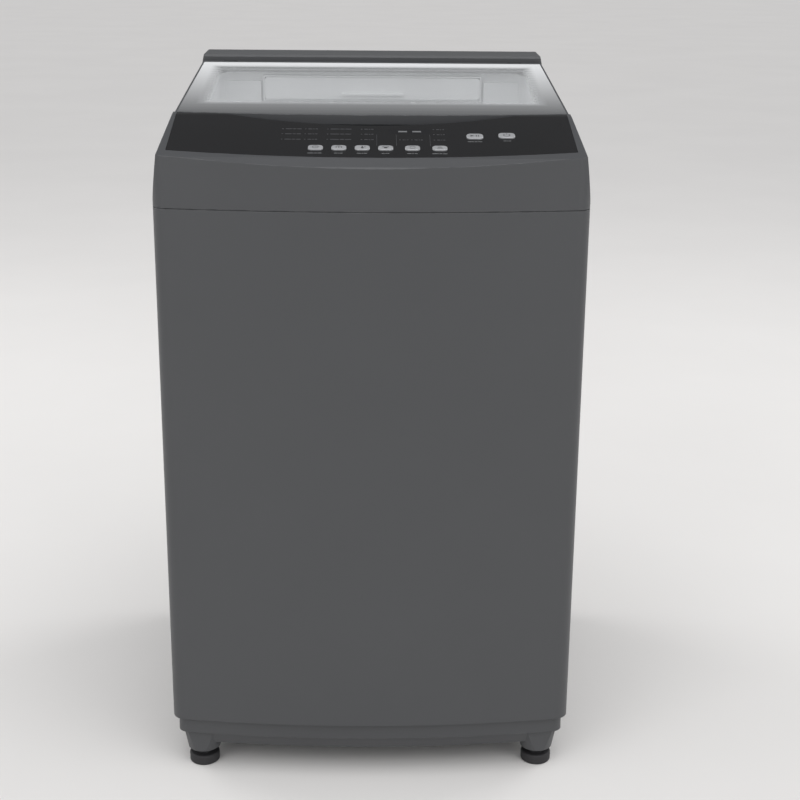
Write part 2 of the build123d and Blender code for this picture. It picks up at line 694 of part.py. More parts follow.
# ---------------------------------------------------------------- collar and drawer
def make_splash_collar():
    """White moulding between the lid opening and the mouth of the tub."""
    y = (at(WELL_FRONT_BACK), at(WELL_REAR_BACK))
    thick = COLLAR_WALL
    outer_y = (y[0] - thick, y[1] + thick)
    band = rounded_prism(WELL_HALF + thick, outer_y, WELL_CORNER + thick, (FUNNEL_TOP, HEIGHT))
    funnel = well_loft(thick)
    body = band + funnel
    body = body & side_prism(
        [(0, 0), (0, roof(0) - RAIL_DROP), (LID_BACK, roof(LID_BACK) - RAIL_DROP + FLANGE_THICK),
         (BODY_DEPTH, roof(BODY_DEPTH) - RAIL_DROP + FLANGE_THICK), (BODY_DEPTH, 0)])
    flange_y = (y[0] - COLLAR_FLANGE, y[1] + thick + 0.3)
    flange = rounded_prism(WELL_HALF + COLLAR_FLANGE + thick, flange_y, WELL_CORNER, (0, HEIGHT))
    flange = flange & roof_band(RAIL_DROP - FLANGE_THICK, RAIL_DROP, LID_BACK, BODY_DEPTH)
    body += flange
    body -= rounded_prism(WELL_HALF, y, WELL_CORNER, (FUNNEL_TOP, HEIGHT + 50))
    body -= well_loft(0)
    ledge_x = (DRAWER_HALF + 6, WELL_HALF + 1)
    for side in (-1, 1):
        x = sorted((side * ledge_x[0], side * ledge_x[1]))
        ledge = block(x, (y[1] - LEDGE_DEPTH, y[1] + 1), (FUNNEL_TOP - 4, LEDGE_Z))
        body += ledge & rounded_prism(WELL_HALF + 1, (y[0] - 1, y[1] + 1), WELL_CORNER, (0, HEIGHT))
    for x in (-60.0, 60.0):
        body += cross_post(x, (y[1] - 14, y[1] + 1), DRAWER_BOTTOM - 7, 3.5)
    opening = DRAWER_HALF + HOUSING_WALL + 0.5
    return body - block((-opening, opening), (y[1] - 10, y[1] + 10), (DRAWER_BOTTOM - 3.1, 901.6))


def well_loft(growth):
    """Funnel from the rounded well down to the round mouth above the basket."""
    y = (at(WELL_FRONT_BACK), at(WELL_REAR_BACK))
    upper = RectangleRounded(2 * (WELL_HALF + growth), y[1] - y[0] + 2 * growth, WELL_CORNER + growth)
    radius = MOUTH_RADIUS + growth
    lower = RectangleRounded(2 * radius, 2 * radius, radius - 0.2)
    upper = Pos(0, (y[0] + y[1]) / 2, FUNNEL_TOP) * upper
    return loft([Pos(0, AXIS_Y, FUNNEL_BOTTOM) * lower, upper], ruled=True)


def make_dispenser_housing():
    """Sleeve that guides the detergent drawer."""
    half = DRAWER_HALF + HOUSING_WALL
    y = (DRAWER_FRONT_Y + DRAWER_PLATE + 0.3, DRAWER_REAR_Y + 5)
    z = (DRAWER_BOTTOM - HOUSING_WALL - 0.4, DRAWER_TOP + 2.3)
    sleeve = block((-half, half), y, z)
    hollow_x = (-half + HOUSING_WALL, half - HOUSING_WALL)
    hollow_z = (z[0] + HOUSING_WALL, z[1] - 1.9)
    return sleeve - block(hollow_x, (y[0] - 1, y[1] - HOUSING_WALL), hollow_z)


def make_dispenser_drawer():
    """Drawer with three compartments and a full width front."""
    half = DRAWER_HALF - DRAWER_GAP
    z = (DRAWER_BOTTOM, DRAWER_TOP)
    front = block((-half, half), (DRAWER_FRONT_Y, DRAWER_FRONT_Y + DRAWER_PLATE), z)
    front = fillet(front.edges().filter_by(Axis.Y), 4)
    tray_z = (z[0] + 0.4, z[1] - 5)
    tray = block((-half, half), (DRAWER_FRONT_Y + DRAWER_PLATE, DRAWER_REAR_Y), tray_z)
    inner_y = (DRAWER_FRONT_Y + DRAWER_PLATE + DRAWER_WALL, DRAWER_REAR_Y - DRAWER_WALL)
    edges = [-half, -half / 3, half / 3, half]
    for left, right in zip(edges[:-1], edges[1:]):
        x = (left + DRAWER_WALL, right - DRAWER_WALL)
        tray -= block(x, inner_y, (tray_z[0] + DRAWER_WALL, HEIGHT))
    lip = block((-45, 45), (DRAWER_FRONT_Y - 5, DRAWER_FRONT_Y + 1), (z[0] + 6, z[0] + 9))
    return front + tray + lip


# ---------------------------------------------------------------- tub group
def make_outer_tub():
    """Water tight tub with a ribbed bottom, four suspension lugs and a drain spout."""
    tub = post(0, AXIS_Y, (TUB_BOTTOM, TUB_TOP), TUB_RADIUS)
    tub -= post(0, AXIS_Y, (TUB_BOTTOM + 5, HEIGHT), TUB_RADIUS - TUB_WALL)
    for x, y, angle in ring_of(12, 150.0):
        rib = Pos(x, y, TUB_BOTTOM - 3) * Rot(0, 0, angle) * Box(150, 4, 6)
        tub += rib
    for sx, sy in corners():
        x, y = sx * ROD_OFFSET, AXIS_Y + sy * ROD_OFFSET
        lug = post(x, y, (LUG_BOTTOM, LUG_BOTTOM + LUG_THICK), 22.0)
        arm_angle = 45 if sx == sy else -45
        arm = Pos(sx * 182.0, AXIS_Y + sy * 182.0, LUG_BOTTOM + LUG_THICK / 2)
        arm = arm * Rot(0, 0, arm_angle) * Box(64, 44, LUG_THICK)
        arm -= post(0, AXIS_Y, (0, HEIGHT), TUB_RADIUS - TUB_WALL)
        web = Pos(sx * 180.0, AXIS_Y + sy * 180.0, LUG_BOTTOM + LUG_THICK + 14)
        web = web * Rot(0, 0, arm_angle) * Box(34, 6, 30)
        web -= post(0, AXIS_Y, (0, HEIGHT), TUB_RADIUS - TUB_WALL)
        tub += lug + arm + web
        tub -= post(x, y, (LUG_BOTTOM - 1, LUG_BOTTOM + LUG_THICK + 1), ROD_RADIUS + 2)
    tub -= post(0, AXIS_Y, (0, TUB_BOTTOM + 10), 22.0)
    drain = (DRAIN_X, 150.0)
    tub += post(*drain, (TUB_BOTTOM - 12, TUB_BOTTOM + 2), 14.0)
    tub -= post(*drain, (0, TUB_BOTTOM + 10), 11.0)
    return tub


def make_tub_ring():
    """Cover ring clipped on the rim of the tub."""
    outer = TUB_RADIUS + 5.0
    skirt = tube(0, AXIS_Y, (TUB_TOP - 14, TUB_TOP), outer, TUB_RADIUS + 0.1)
    riser = tube(0, AXIS_Y, (TUB_TOP, 752.0), outer, TUB_RADIUS - 3)
    plate = tube(0, AXIS_Y, (749.0, 752.0), outer, 189.0)
    lip = tube(0, AXIS_Y, (744.0, 749.0), 192.0, 189.0)
    return skirt + riser + plate + lip


def make_drive_bracket():
    """Steel plate below the tub that carries the gearbox and the motor."""
    z = (BRACKET_Z, BRACKET_Z + BRACKET_THICK)
    plate = block((-205, 110), (AXIS_Y - 90, AXIS_Y + 90), z)
    plate = fillet(plate.edges().filter_by(Axis.Z), 18)
    for side in (-1, 1):
        y = sorted((AXIS_Y + side * 86, AXIS_Y + side * 90))
        plate += block((-185, 90), y, (BRACKET_Z - 12, BRACKET_Z + 1))
    plate -= post(0, AXIS_Y, (0, HEIGHT), 20.0)
    for x, y in bolt_places():
        plate -= post(x, y, (0, HEIGHT), 3.0)
    return plate


def bolt_places():
    """Bolts that hold the plate to the tub's ribs."""
    places = [(x, AXIS_Y + side * 75.0) for x in (-60.0, 60.0) for side in (-1, 1)]
    return places + [(95.0, AXIS_Y), (-95.0, AXIS_Y + 80.0), (-95.0, AXIS_Y - 80.0)]


def make_drive_bolts():
    """Hexagon bolts of the drive plate."""
    bolts = []
    for x, y in bolt_places():
        head = extrude(Pos(x, y, BRACKET_Z - 4) * RegularPolygon(5.5, 6), 4)
        bolts.append(head + post(x, y, (BRACKET_Z - 1, BRACKET_Z + BRACKET_THICK + 2), 3.0))
    return Compound(children=bolts)


def make_gearbox():
    """Clutch and gear housing with the bearing tube of the two shafts."""
    case = post(0, AXIS_Y, (GEARBOX_BOTTOM, BRACKET_Z), GEARBOX_RADIUS)
    case = fillet(case.edges().sort_by(Axis.Z)[0], 8)
    for x, y, angle in ring_of(6, GEARBOX_RADIUS + 2):
        case += Pos(x, y, BRACKET_Z - 5) * Rot(0, 0, angle) * Box(14, 10, 10)
    case += post(0, AXIS_Y, (BRACKET_Z, TUB_BOTTOM + 14), 19.5)
    return case - post(0, AXIS_Y, (0, HEIGHT), SPIN_SHAFT_RADIUS + SHAFT_PLAY)


def make_drive_motor():
    """Induction motor: stator stack between two end shields."""
    x = MOTOR_X
    motor = post(x, AXIS_Y, (124, 172), MOTOR_RADIUS)
    for low, high in ((114, 124), (172, BRACKET_Z)):
        shield = post(x, AXIS_Y, (low, high), MOTOR_RADIUS - 6)
        motor += shield
    for px, py in ((x, AXIS_Y + 56), (x, AXIS_Y - 56)):
        motor += post(px, py, (118, BRACKET_Z), 5.0)
    return motor - post(x, AXIS_Y, (100, BRACKET_Z - 8), 6.0 + SHAFT_PLAY)


def make_motor_rotor():
    """Motor shaft with its small belt pulley."""
    half = PULLEY_HEIGHT / 2
    x = MOTOR_X
    shaft = post(x, AXIS_Y, (PULLEY_Z - half - 3, BRACKET_Z - 10), 6.0)
    pulley = post(x, AXIS_Y, (PULLEY_Z - half, PULLEY_Z + half), MOTOR_PULLEY_RADIUS + 3)
    groove_z = (PULLEY_Z - BELT_HEIGHT / 2 - 0.5, PULLEY_Z + BELT_HEIGHT / 2 + 0.5)
    pulley -= tube(x, AXIS_Y, groove_z, MOTOR_PULLEY_RADIUS + 8, MOTOR_PULLEY_RADIUS)
    return shaft + pulley - post(x + 6.5, AXIS_Y, (0, PULLEY_Z - half - 1), 1.5)


def make_driven_pulley():
    """Large belt pulley at the foot of the wash shaft, with spokes."""
    half = PULLEY_HEIGHT / 2
    rim = tube(0, AXIS_Y, (PULLEY_Z - half, PULLEY_Z + half), DRIVEN_RADIUS + 3, DRIVEN_RADIUS - 6)
    hub = post(0, AXIS_Y, (PULLEY_Z - half, PULLEY_Z + half), 16.0)
    for step in range(3):
        hub += Pos(0, AXIS_Y, PULLEY_Z) * Rot(0, 0, 60 * step) * Box(2 * DRIVEN_RADIUS - 10, 12, 6)
    pulley = rim + hub
    groove_z = (PULLEY_Z - BELT_HEIGHT / 2 - 0.5, PULLEY_Z + BELT_HEIGHT / 2 + 0.5)
    pulley -= tube(0, AXIS_Y, groove_z, DRIVEN_RADIUS + 8, DRIVEN_RADIUS)
    return pulley - post(0, AXIS_Y, (0, HEIGHT), WASH_SHAFT_RADIUS)


def belt_face(extra):
    """Outline of a belt loop that lies this far outside both pulleys."""
    small = Pos(MOTOR_X, AXIS_Y) * Circle(MOTOR_PULLEY_RADIUS + extra)
    large = Pos(0, AXIS_Y) * Circle(DRIVEN_RADIUS + extra)
    span = -MOTOR_X
    lean = (DRIVEN_RADIUS - MOTOR_PULLEY_RADIUS) / span
    rise = sqrt(1 - lean**2)
    r_small, r_large = MOTOR_PULLEY_RADIUS + extra, DRIVEN_RADIUS + extra
    corners_xy = [
        (MOTOR_X - lean * r_small, AXIS_Y + rise * r_small), (-lean * r_large, AXIS_Y + rise * r_large),
        (-lean * r_large, AXIS_Y - rise * r_large), (MOTOR_X - lean * r_small, AXIS_Y - rise * r_small)]
    return small + large + make_face(Polyline(*corners_xy, close=True))


def make_drive_belt():
    """Belt around the two pulleys."""
    low = PULLEY_Z - BELT_HEIGHT / 2
    outer = extrude(Pos(0, 0, low) * belt_face(BELT_GAP + BELT_THICK), BELT_HEIGHT)
    return outer - extrude(Pos(0, 0, low - 1) * belt_face(BELT_GAP), BELT_HEIGHT + 2)


# ---------------------------------------------------------------- basket group
def make_wash_basket():
    """Perforated steel drum with three pressed beads."""
    levels = (BASKET_BOTTOM, BASKET_TOP)
    drum = tube(0, AXIS_Y, levels, BASKET_RADIUS, BASKET_RADIUS - SHEET)
    for z in (330.0, 470.0, 610.0):
        bead = tube(0, AXIS_Y, (z - 4, z + 4), BASKET_RADIUS + 2.5, BASKET_RADIUS)
        groove = tube(0, AXIS_Y, (z - 2.5, z + 2.5), BASKET_RADIUS + 1.2, BASKET_RADIUS - SHEET - 0.1)
        drum = drum + bead - groove
    rows = [280.0 + 55.0 * step for step in range(8)]
    for row, z in enumerate(rows):
        for step in range(8):
            angle = 22.5 * step + 11.25 * (row % 2)
            hole = Pos(0, AXIS_Y, z) * Rot(0, 0, angle) * Rot(0, 90, 0)
            drum -= hole * Cylinder(3.0, 2 * BASKET_RADIUS + 20)
    return drum


def make_balance_ring():
    """Hollow ring filled with brine that steadies the basket."""
    profile = [
        (RING_INNER, 705.0), (RING_INNER + 3, 700.0), (220.5, 695.0), (220.5, 703.0),
        (224.0, 703.0), (224.0, RING_TOP - 6), (218.0, RING_TOP), (RING_INNER + 8, RING_TOP),
        (RING_INNER, RING_TOP - 10)]
    return revolved(profile)


def revolved(points):
    """Solid of revolution about the tub axis from (radius, z) points."""
    face = make_face(Polyline(*points, close=True))
    return Pos(0, AXIS_Y, 0) * revolve(Plane.XZ * face, Axis.Z)


def make_basket_base():
    """Moulded floor of the basket with a well for the pulsator."""
    profile = [
        (15.0, 228.0), (125.0, 228.0), (125.0, 234.0), (165.0, 234.0), (169.5, 248.0),
        (214.0, 264.0), (216.5, 264.0), (216.5, 228.0), (220.5, 228.0), (220.5, 268.0),
        (215.0, 268.0), (172.0, 253.0), (168.0, 238.0), (15.0, 238.0)]
    base = revolved(profile)
    for x, y, angle in ring_of(16, 196.0):
        base -= post(x, y, (200, 300), 4.0)
    return base


def make_drive_hub():
    """Three armed flange and hollow shaft that spin the basket."""
    hub = post(0, AXIS_Y, (TUB_BOTTOM + 16, 228.0), 42.0)
    for step in range(3):
        arm = Pos(0, AXIS_Y, 224.5) * Rot(0, 0, 120 * step + 90) * Pos(70, 0, 0) * Box(100, 34, 7)
        hub += arm
    hub += post(0, AXIS_Y, (GEARBOX_BOTTOM - 4, 238.0), SPIN_SHAFT_RADIUS)
    return hub - post(0, AXIS_Y, (0, HEIGHT), WASH_SHAFT_RADIUS + SHAFT_PLAY)


def make_lint_filter(side):
    """Lint filter cassette on the basket wall, with a grille and a collecting pocket."""
    z = (430.0, 560.0)
    x = sorted((side * 200.0, side * 230.0))
    cassette = block(x, (AXIS_Y - 42, AXIS_Y + 42), z)
    cassette = cassette & post(0, AXIS_Y, (0, HEIGHT), BASKET_RADIUS - SHEET - 0.4)
    inner_x = sorted((side * 197.0, side * 211.0))
    for step in range(5):
        low = z[0] + 12 + 22 * step
        cassette -= block(inner_x, (AXIS_Y - 34, AXIS_Y + 34), (low, low + 16))
    return cassette


def make_pulsator():
    """Low wash plate with a dome and five blades."""
    profile = [
        (0.0, 243.0), (20.0, 243.0), (20.0, 280.0), (33.0, 277.0), (56.0, 263.0), (89.0, 253.0),
        (159.0, 249.0), (161.0, 243.0), (PULSATOR_RADIUS, 243.0), (PULSATOR_RADIUS, 249.0),
        (160.0, 253.5), (90.0, 257.5), (58.0, 268.0), (36.0, 282.0), (20.0, 288.0), (0.0, 288.0)]
    plate = revolved(profile)
    for step in range(5):
        blade = Pos(0, AXIS_Y, 262) * Rot(0, 0, 72 * step) * Pos(92, 0, 0) * Box(124, 14, 26)
        blade = fillet(blade.edges().filter_by(Axis.Z), 6.5)
        top = blade.faces().sort_by(Axis.Z)[-1]
        plate += fillet(top.edges(), 5)
    for x, y, angle in ring_of(20, 128.0, 9.0):
        plate -= post(x, y, (200, 300), 3.0)
    return plate - post(0, AXIS_Y, (200, 280), WASH_SHAFT_RADIUS) - post(0, AXIS_Y, (270, 300), 4.0)


def make_pulsator_cap():
    """Snap cap over the pulsator's screw."""
    cap = fillet(post(0, AXIS_Y, (288, 293), 18.0).edges().sort_by(Axis.Z)[-1], 3)
    return cap + post(0, AXIS_Y, (282, 289), 4.0)


def make_wash_shaft():
    """Inner shaft that drives the pulsator."""
    return post(0, AXIS_Y, (PULLEY_Z - PULLEY_HEIGHT / 2 - 2, 280.0), WASH_SHAFT_RADIUS)


# ---------------------------------------------------------------- suspension and services
def make_corner_brackets():
    """Gusset plates in the top corners of the cabinet that carry the rods."""
    plates = []
    for sx, sy in corners():
        x = sorted((sx * 175.0, sx * WIDTH))
        y = sorted((AXIS_Y + sy * 175.0, AXIS_Y + sy * DEPTH))
        plate = block(x, y, (BRACKET_LEVEL, BRACKET_LEVEL + 3))
        plate = plate & plan_prism(3 * SHEET, (0, HEIGHT))
        plate -= post(0, AXIS_Y, (0, HEIGHT), TUB_RADIUS + 14)
        rod = (sx * ROD_OFFSET, AXIS_Y + sy * ROD_OFFSET)
        plate += tube(*rod, (BRACKET_LEVEL + 3, BRACKET_LEVEL + 8), 13.0, ROD_RADIUS + 0.5)
        plates.append(plate - post(*rod, (0, HEIGHT), ROD_RADIUS + 0.5))
    return Compound(children=plates)


def make_suspension_rods():
    """Hanger rods with a ball head above and a spring seat below."""
    rods = []
    for sx, sy in corners():
        x, y = sx * ROD_OFFSET, AXIS_Y + sy * ROD_OFFSET
        rod = post(x, y, (ROD_BOTTOM, BRACKET_LEVEL + 12), ROD_RADIUS)
        rod += post(x, y, (ROD_SEAT - 4, ROD_SEAT), 21.0)
        rod += post(x, y, (BRACKET_LEVEL + 8, BRACKET_LEVEL + 15), 9.0)
        rods.append(rod)
    return Compound(children=rods)


def make_suspension_springs():
    """Coil springs between the rod seats and the damper cups."""
    springs = []
    height = SPRING_TOP - ROD_SEAT - 2 * SPRING_WIRE
    for sx, sy in corners():
        x, y = sx * ROD_OFFSET, AXIS_Y + sy * ROD_OFFSET
        path = Helix(height / SPRING_TURNS, height, SPRING_RADIUS)
        start = Plane(path @ 0, z_dir=path % 0)
        coil = sweep(start * Circle(SPRING_WIRE), path=path)
        springs.append(Pos(x, y, ROD_SEAT + SPRING_WIRE) * coil)
    return Compound(children=springs)


def make_damper_cups():
    """Friction cups below the tub lugs that ride on the rods."""
    cups = []
    for sx, sy in corners():
        x, y = sx * ROD_OFFSET, AXIS_Y + sy * ROD_OFFSET
        cup = post(x, y, (SPRING_TOP - 10, LUG_BOTTOM), 22.0)
        cup -= post(x, y, (0, SPRING_TOP), SPRING_RADIUS + SPRING_WIRE + 1)
        cup += post(x, y, (SPRING_TOP - 10, LUG_BOTTOM), ROD_RADIUS + 4)
        cups.append(cup - post(x, y, (0, HEIGHT), ROD_RADIUS + 0.08))
    return Compound(children=cups)


def make_drain_bellows():
    """Flexible sleeve from the tub's drain spout down to the pump."""
    points = [(11.0, 193.0), (14.0, 193.0)]
    folds = 6
    low, high = 128.0, 193.0
    pitch = (high - low) / folds
    for step in range(folds):
        top = high - pitch * step
        points += [(14.0, top - pitch * 0.25), (18.0, top - pitch * 0.5), (14.0, top - pitch * 0.75)]
    points += [(14.0, low), (11.0, low)]
    face = make_face(Polyline(*points, close=True))
    return Pos(DRAIN_X, 150, 0) * revolve(Plane.XZ * face, Axis.Z)


def make_drain_pump():
    """Drain pump on the base tray."""
    floor = SKIRT_STEP + WALL
    pump = block((DRAIN_X - 34, DRAIN_X + 34), (128, 176), (floor, floor + 8))
    pump += post(DRAIN_X, 150, (floor + 8, 118), 30.0)
    pump += post(DRAIN_X, 150, (117, 128), 14.0)
    pump -= post(DRAIN_X, 150, (100, 129), 11.0)
    pump += block((DRAIN_X - 78, DRAIN_X - 20), (132, 168), (floor + 10, floor + 46))
    pump += cross_post(DRAIN_X, (150, 196), DRAIN_Z, DRAIN_RADIUS)
    return pump - cross_post(DRAIN_X, (170, 200), DRAIN_Z, DRAIN_BORE)


def make_drain_outlet():
    """Hose spigot from the pump out through the rear panel."""
    spigot = cross_post(DRAIN_X, (196, REAR_Y + PORT_REACH), DRAIN_Z, DRAIN_RADIUS)
    spigot += cross_post(DRAIN_X, (REAR_Y - SHEET, REAR_Y + 2), DRAIN_Z, DRAIN_RADIUS + 5)
    return spigot - cross_post(DRAIN_X, (190, REAR_Y + PORT_REACH + 1), DRAIN_Z, DRAIN_BORE)


def make_cord_gland():
    """Rubber bush in the rear panel where the mains cord enters."""
    gland = cross_post(GLAND_X, (REAR_Y - 6, REAR_Y + 6), GLAND_Z, 9.0)
    gland += cross_post(GLAND_X, (REAR_Y - SHEET, REAR_Y + 3), GLAND_Z, 12.0)
    return gland - cross_post(GLAND_X, (REAR_Y - 10, REAR_Y + 10), GLAND_Z, 4.0)


def make_level_sensor():
    """Water level sensor on the inside of the rear panel."""
    inner = REAR_Y - 2 * SHEET
    sensor = cross_post(-150, (inner - 22, inner), 735, 24.0)
    return sensor + cross_post(-150, (inner - 34, inner - 20), 735, 4.0)


def make_capacitor():
    """Motor run capacitor in its clip on the rear panel."""
    inner = REAR_Y - 2 * SHEET
    can = post(-215, inner - 21, (105, 165), 18.0)
    plate = block((-236, -194), (inner - 3, inner), (115, 155))
    stem = block((-220, -210), (inner - 8, inner), (120, 150))
    return can + plate + stem


# ---------------------------------------------------------------- the whole machine
def make_nodes():
    """Yield every sub-part with its node name."""
    yield "cabinet", make_cabinet()
    yield "rear_panel", make_rear_panel()
    yield "rear_screws", make_rear_screws()
    yield "base_frame", make_base_frame()
    yield "top_cover", make_top_cover()
    yield "control_fascia", make_control_fascia()
    yield "display_lens", make_display_lens()
    yield "control_board", make_control_board()
    for name, (x, back, size) in BUTTONS.items():
        yield name, make_button(x, back, size)
    yield "lid_frame", make_lid_frame()
    yield "lid_glass", glass_blank(0.0)
    yield "lid_bumpers", make_lid_bumpers()
    yield "lid_magnet", make_lid_magnet()
    yield "hinge_brackets", make_hinge_brackets()
    yield "hinge_pins", make_hinge_pins()
    yield "lid_sensor", make_lid_sensor()
    yield "rear_housing", make_rear_housing()
    yield "inlet_valves", make_inlet_valves()
    yield "splash_collar", make_splash_collar()
    yield "dispenser_housing", make_dispenser_housing()
    yield "dispenser_drawer", make_dispenser_drawer()
    for number, (sx, y) in enumerate(foot_places(), 1):
        yield f"foot_{number}", make_foot(sx * FOOT_X, y)
    yield "outer_tub", make_outer_tub()
    yield "tub_ring", make_tub_ring()
    yield "drive_bracket", make_drive_bracket()
    yield "drive_bolts", make_drive_bolts()
    yield "gearbox_housing", make_gearbox()
    yield "drive_motor", make_drive_motor()
    yield "motor_rotor", make_motor_rotor()
    yield "driven_pulley", make_driven_pulley()
    yield "drive_belt", make_drive_belt()
    yield "wash_basket", make_wash_basket()
    yield "balance_ring", make_balance_ring()
    yield "basket_base", make_basket_base()
    yield "drive_hub", make_drive_hub()
    for name, side in (("lint_filter_left", -1), ("lint_filter_right", 1)):
        yield name, make_lint_filter(side)
    yield "pulsator", make_pulsator()
    yield "pulsator_cap", make_pulsator_cap()
    yield "wash_shaft", make_wash_shaft()
    yield "corner_brackets", make_corner_brackets()
    yield "suspension_rods", make_suspension_rods()
    yield "suspension_springs", make_suspension_springs()
    yield "damper_cups", make_damper_cups()
    yield "drain_bellows", make_drain_bellows()
    yield "drain_pump", make_drain_pump()
    yield "drain_outlet", make_drain_outlet()
    yield "cord_gland", make_cord_gland()
    yield "level_sensor", make_level_sensor()
    yield "capacitor", make_capacitor()


for node, shape in make_nodes():
    export_step(shape, f"parts/{node}.step")
    print(f"{node:22s} {shape.volume / 1000:10.1f} cm3")
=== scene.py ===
"""Looks of the compact top load washing machine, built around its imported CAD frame."""

import json
import math

import bpy
from mathutils import Matrix, Vector


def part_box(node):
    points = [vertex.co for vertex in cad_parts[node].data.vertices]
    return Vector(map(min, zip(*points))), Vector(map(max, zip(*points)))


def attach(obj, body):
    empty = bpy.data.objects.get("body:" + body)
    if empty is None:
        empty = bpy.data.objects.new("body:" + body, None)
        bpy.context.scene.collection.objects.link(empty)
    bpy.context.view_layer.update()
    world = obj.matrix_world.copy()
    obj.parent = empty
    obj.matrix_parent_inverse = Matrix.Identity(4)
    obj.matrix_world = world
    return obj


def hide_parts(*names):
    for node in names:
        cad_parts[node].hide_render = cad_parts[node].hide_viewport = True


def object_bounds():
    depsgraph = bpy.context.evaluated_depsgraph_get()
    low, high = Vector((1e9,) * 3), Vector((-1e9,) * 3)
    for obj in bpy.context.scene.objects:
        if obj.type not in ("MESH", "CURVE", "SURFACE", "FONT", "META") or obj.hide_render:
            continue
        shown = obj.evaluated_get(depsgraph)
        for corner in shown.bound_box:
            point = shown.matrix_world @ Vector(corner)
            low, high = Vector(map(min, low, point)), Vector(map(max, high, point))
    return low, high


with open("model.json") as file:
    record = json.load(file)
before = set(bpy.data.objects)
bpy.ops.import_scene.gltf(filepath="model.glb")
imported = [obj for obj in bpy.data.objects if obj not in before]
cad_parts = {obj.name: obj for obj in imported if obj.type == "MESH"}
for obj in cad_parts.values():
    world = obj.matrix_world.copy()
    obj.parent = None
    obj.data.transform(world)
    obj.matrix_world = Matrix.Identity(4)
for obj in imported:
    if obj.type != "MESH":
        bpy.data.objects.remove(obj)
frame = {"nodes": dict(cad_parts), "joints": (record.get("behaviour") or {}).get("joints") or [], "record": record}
cad_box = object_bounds()

CAMERA_HEIGHT = 1.1095
CAMERA_DISTANCE = 2.0626
CAMERA_PITCH = 17.63
CAMERA_YAW = 1.151
CAMERA_ROLL = 0.515
CAMERA_LENS = 66.99


# ---------------------------------------------------------------- materials
def linear(value):
    """Linear light for an 8-bit display value."""
    level = value / 255.0
    return level / 12.92 if level <= 0.04045 else ((level + 0.055) / 1.055) ** 2.4


def grey(red, green=None, blue=None):
    """Linear colour for display values."""
    green = red if green is None else green
    blue = red if blue is None else blue
    return (linear(red), linear(green), linear(blue), 1.0)


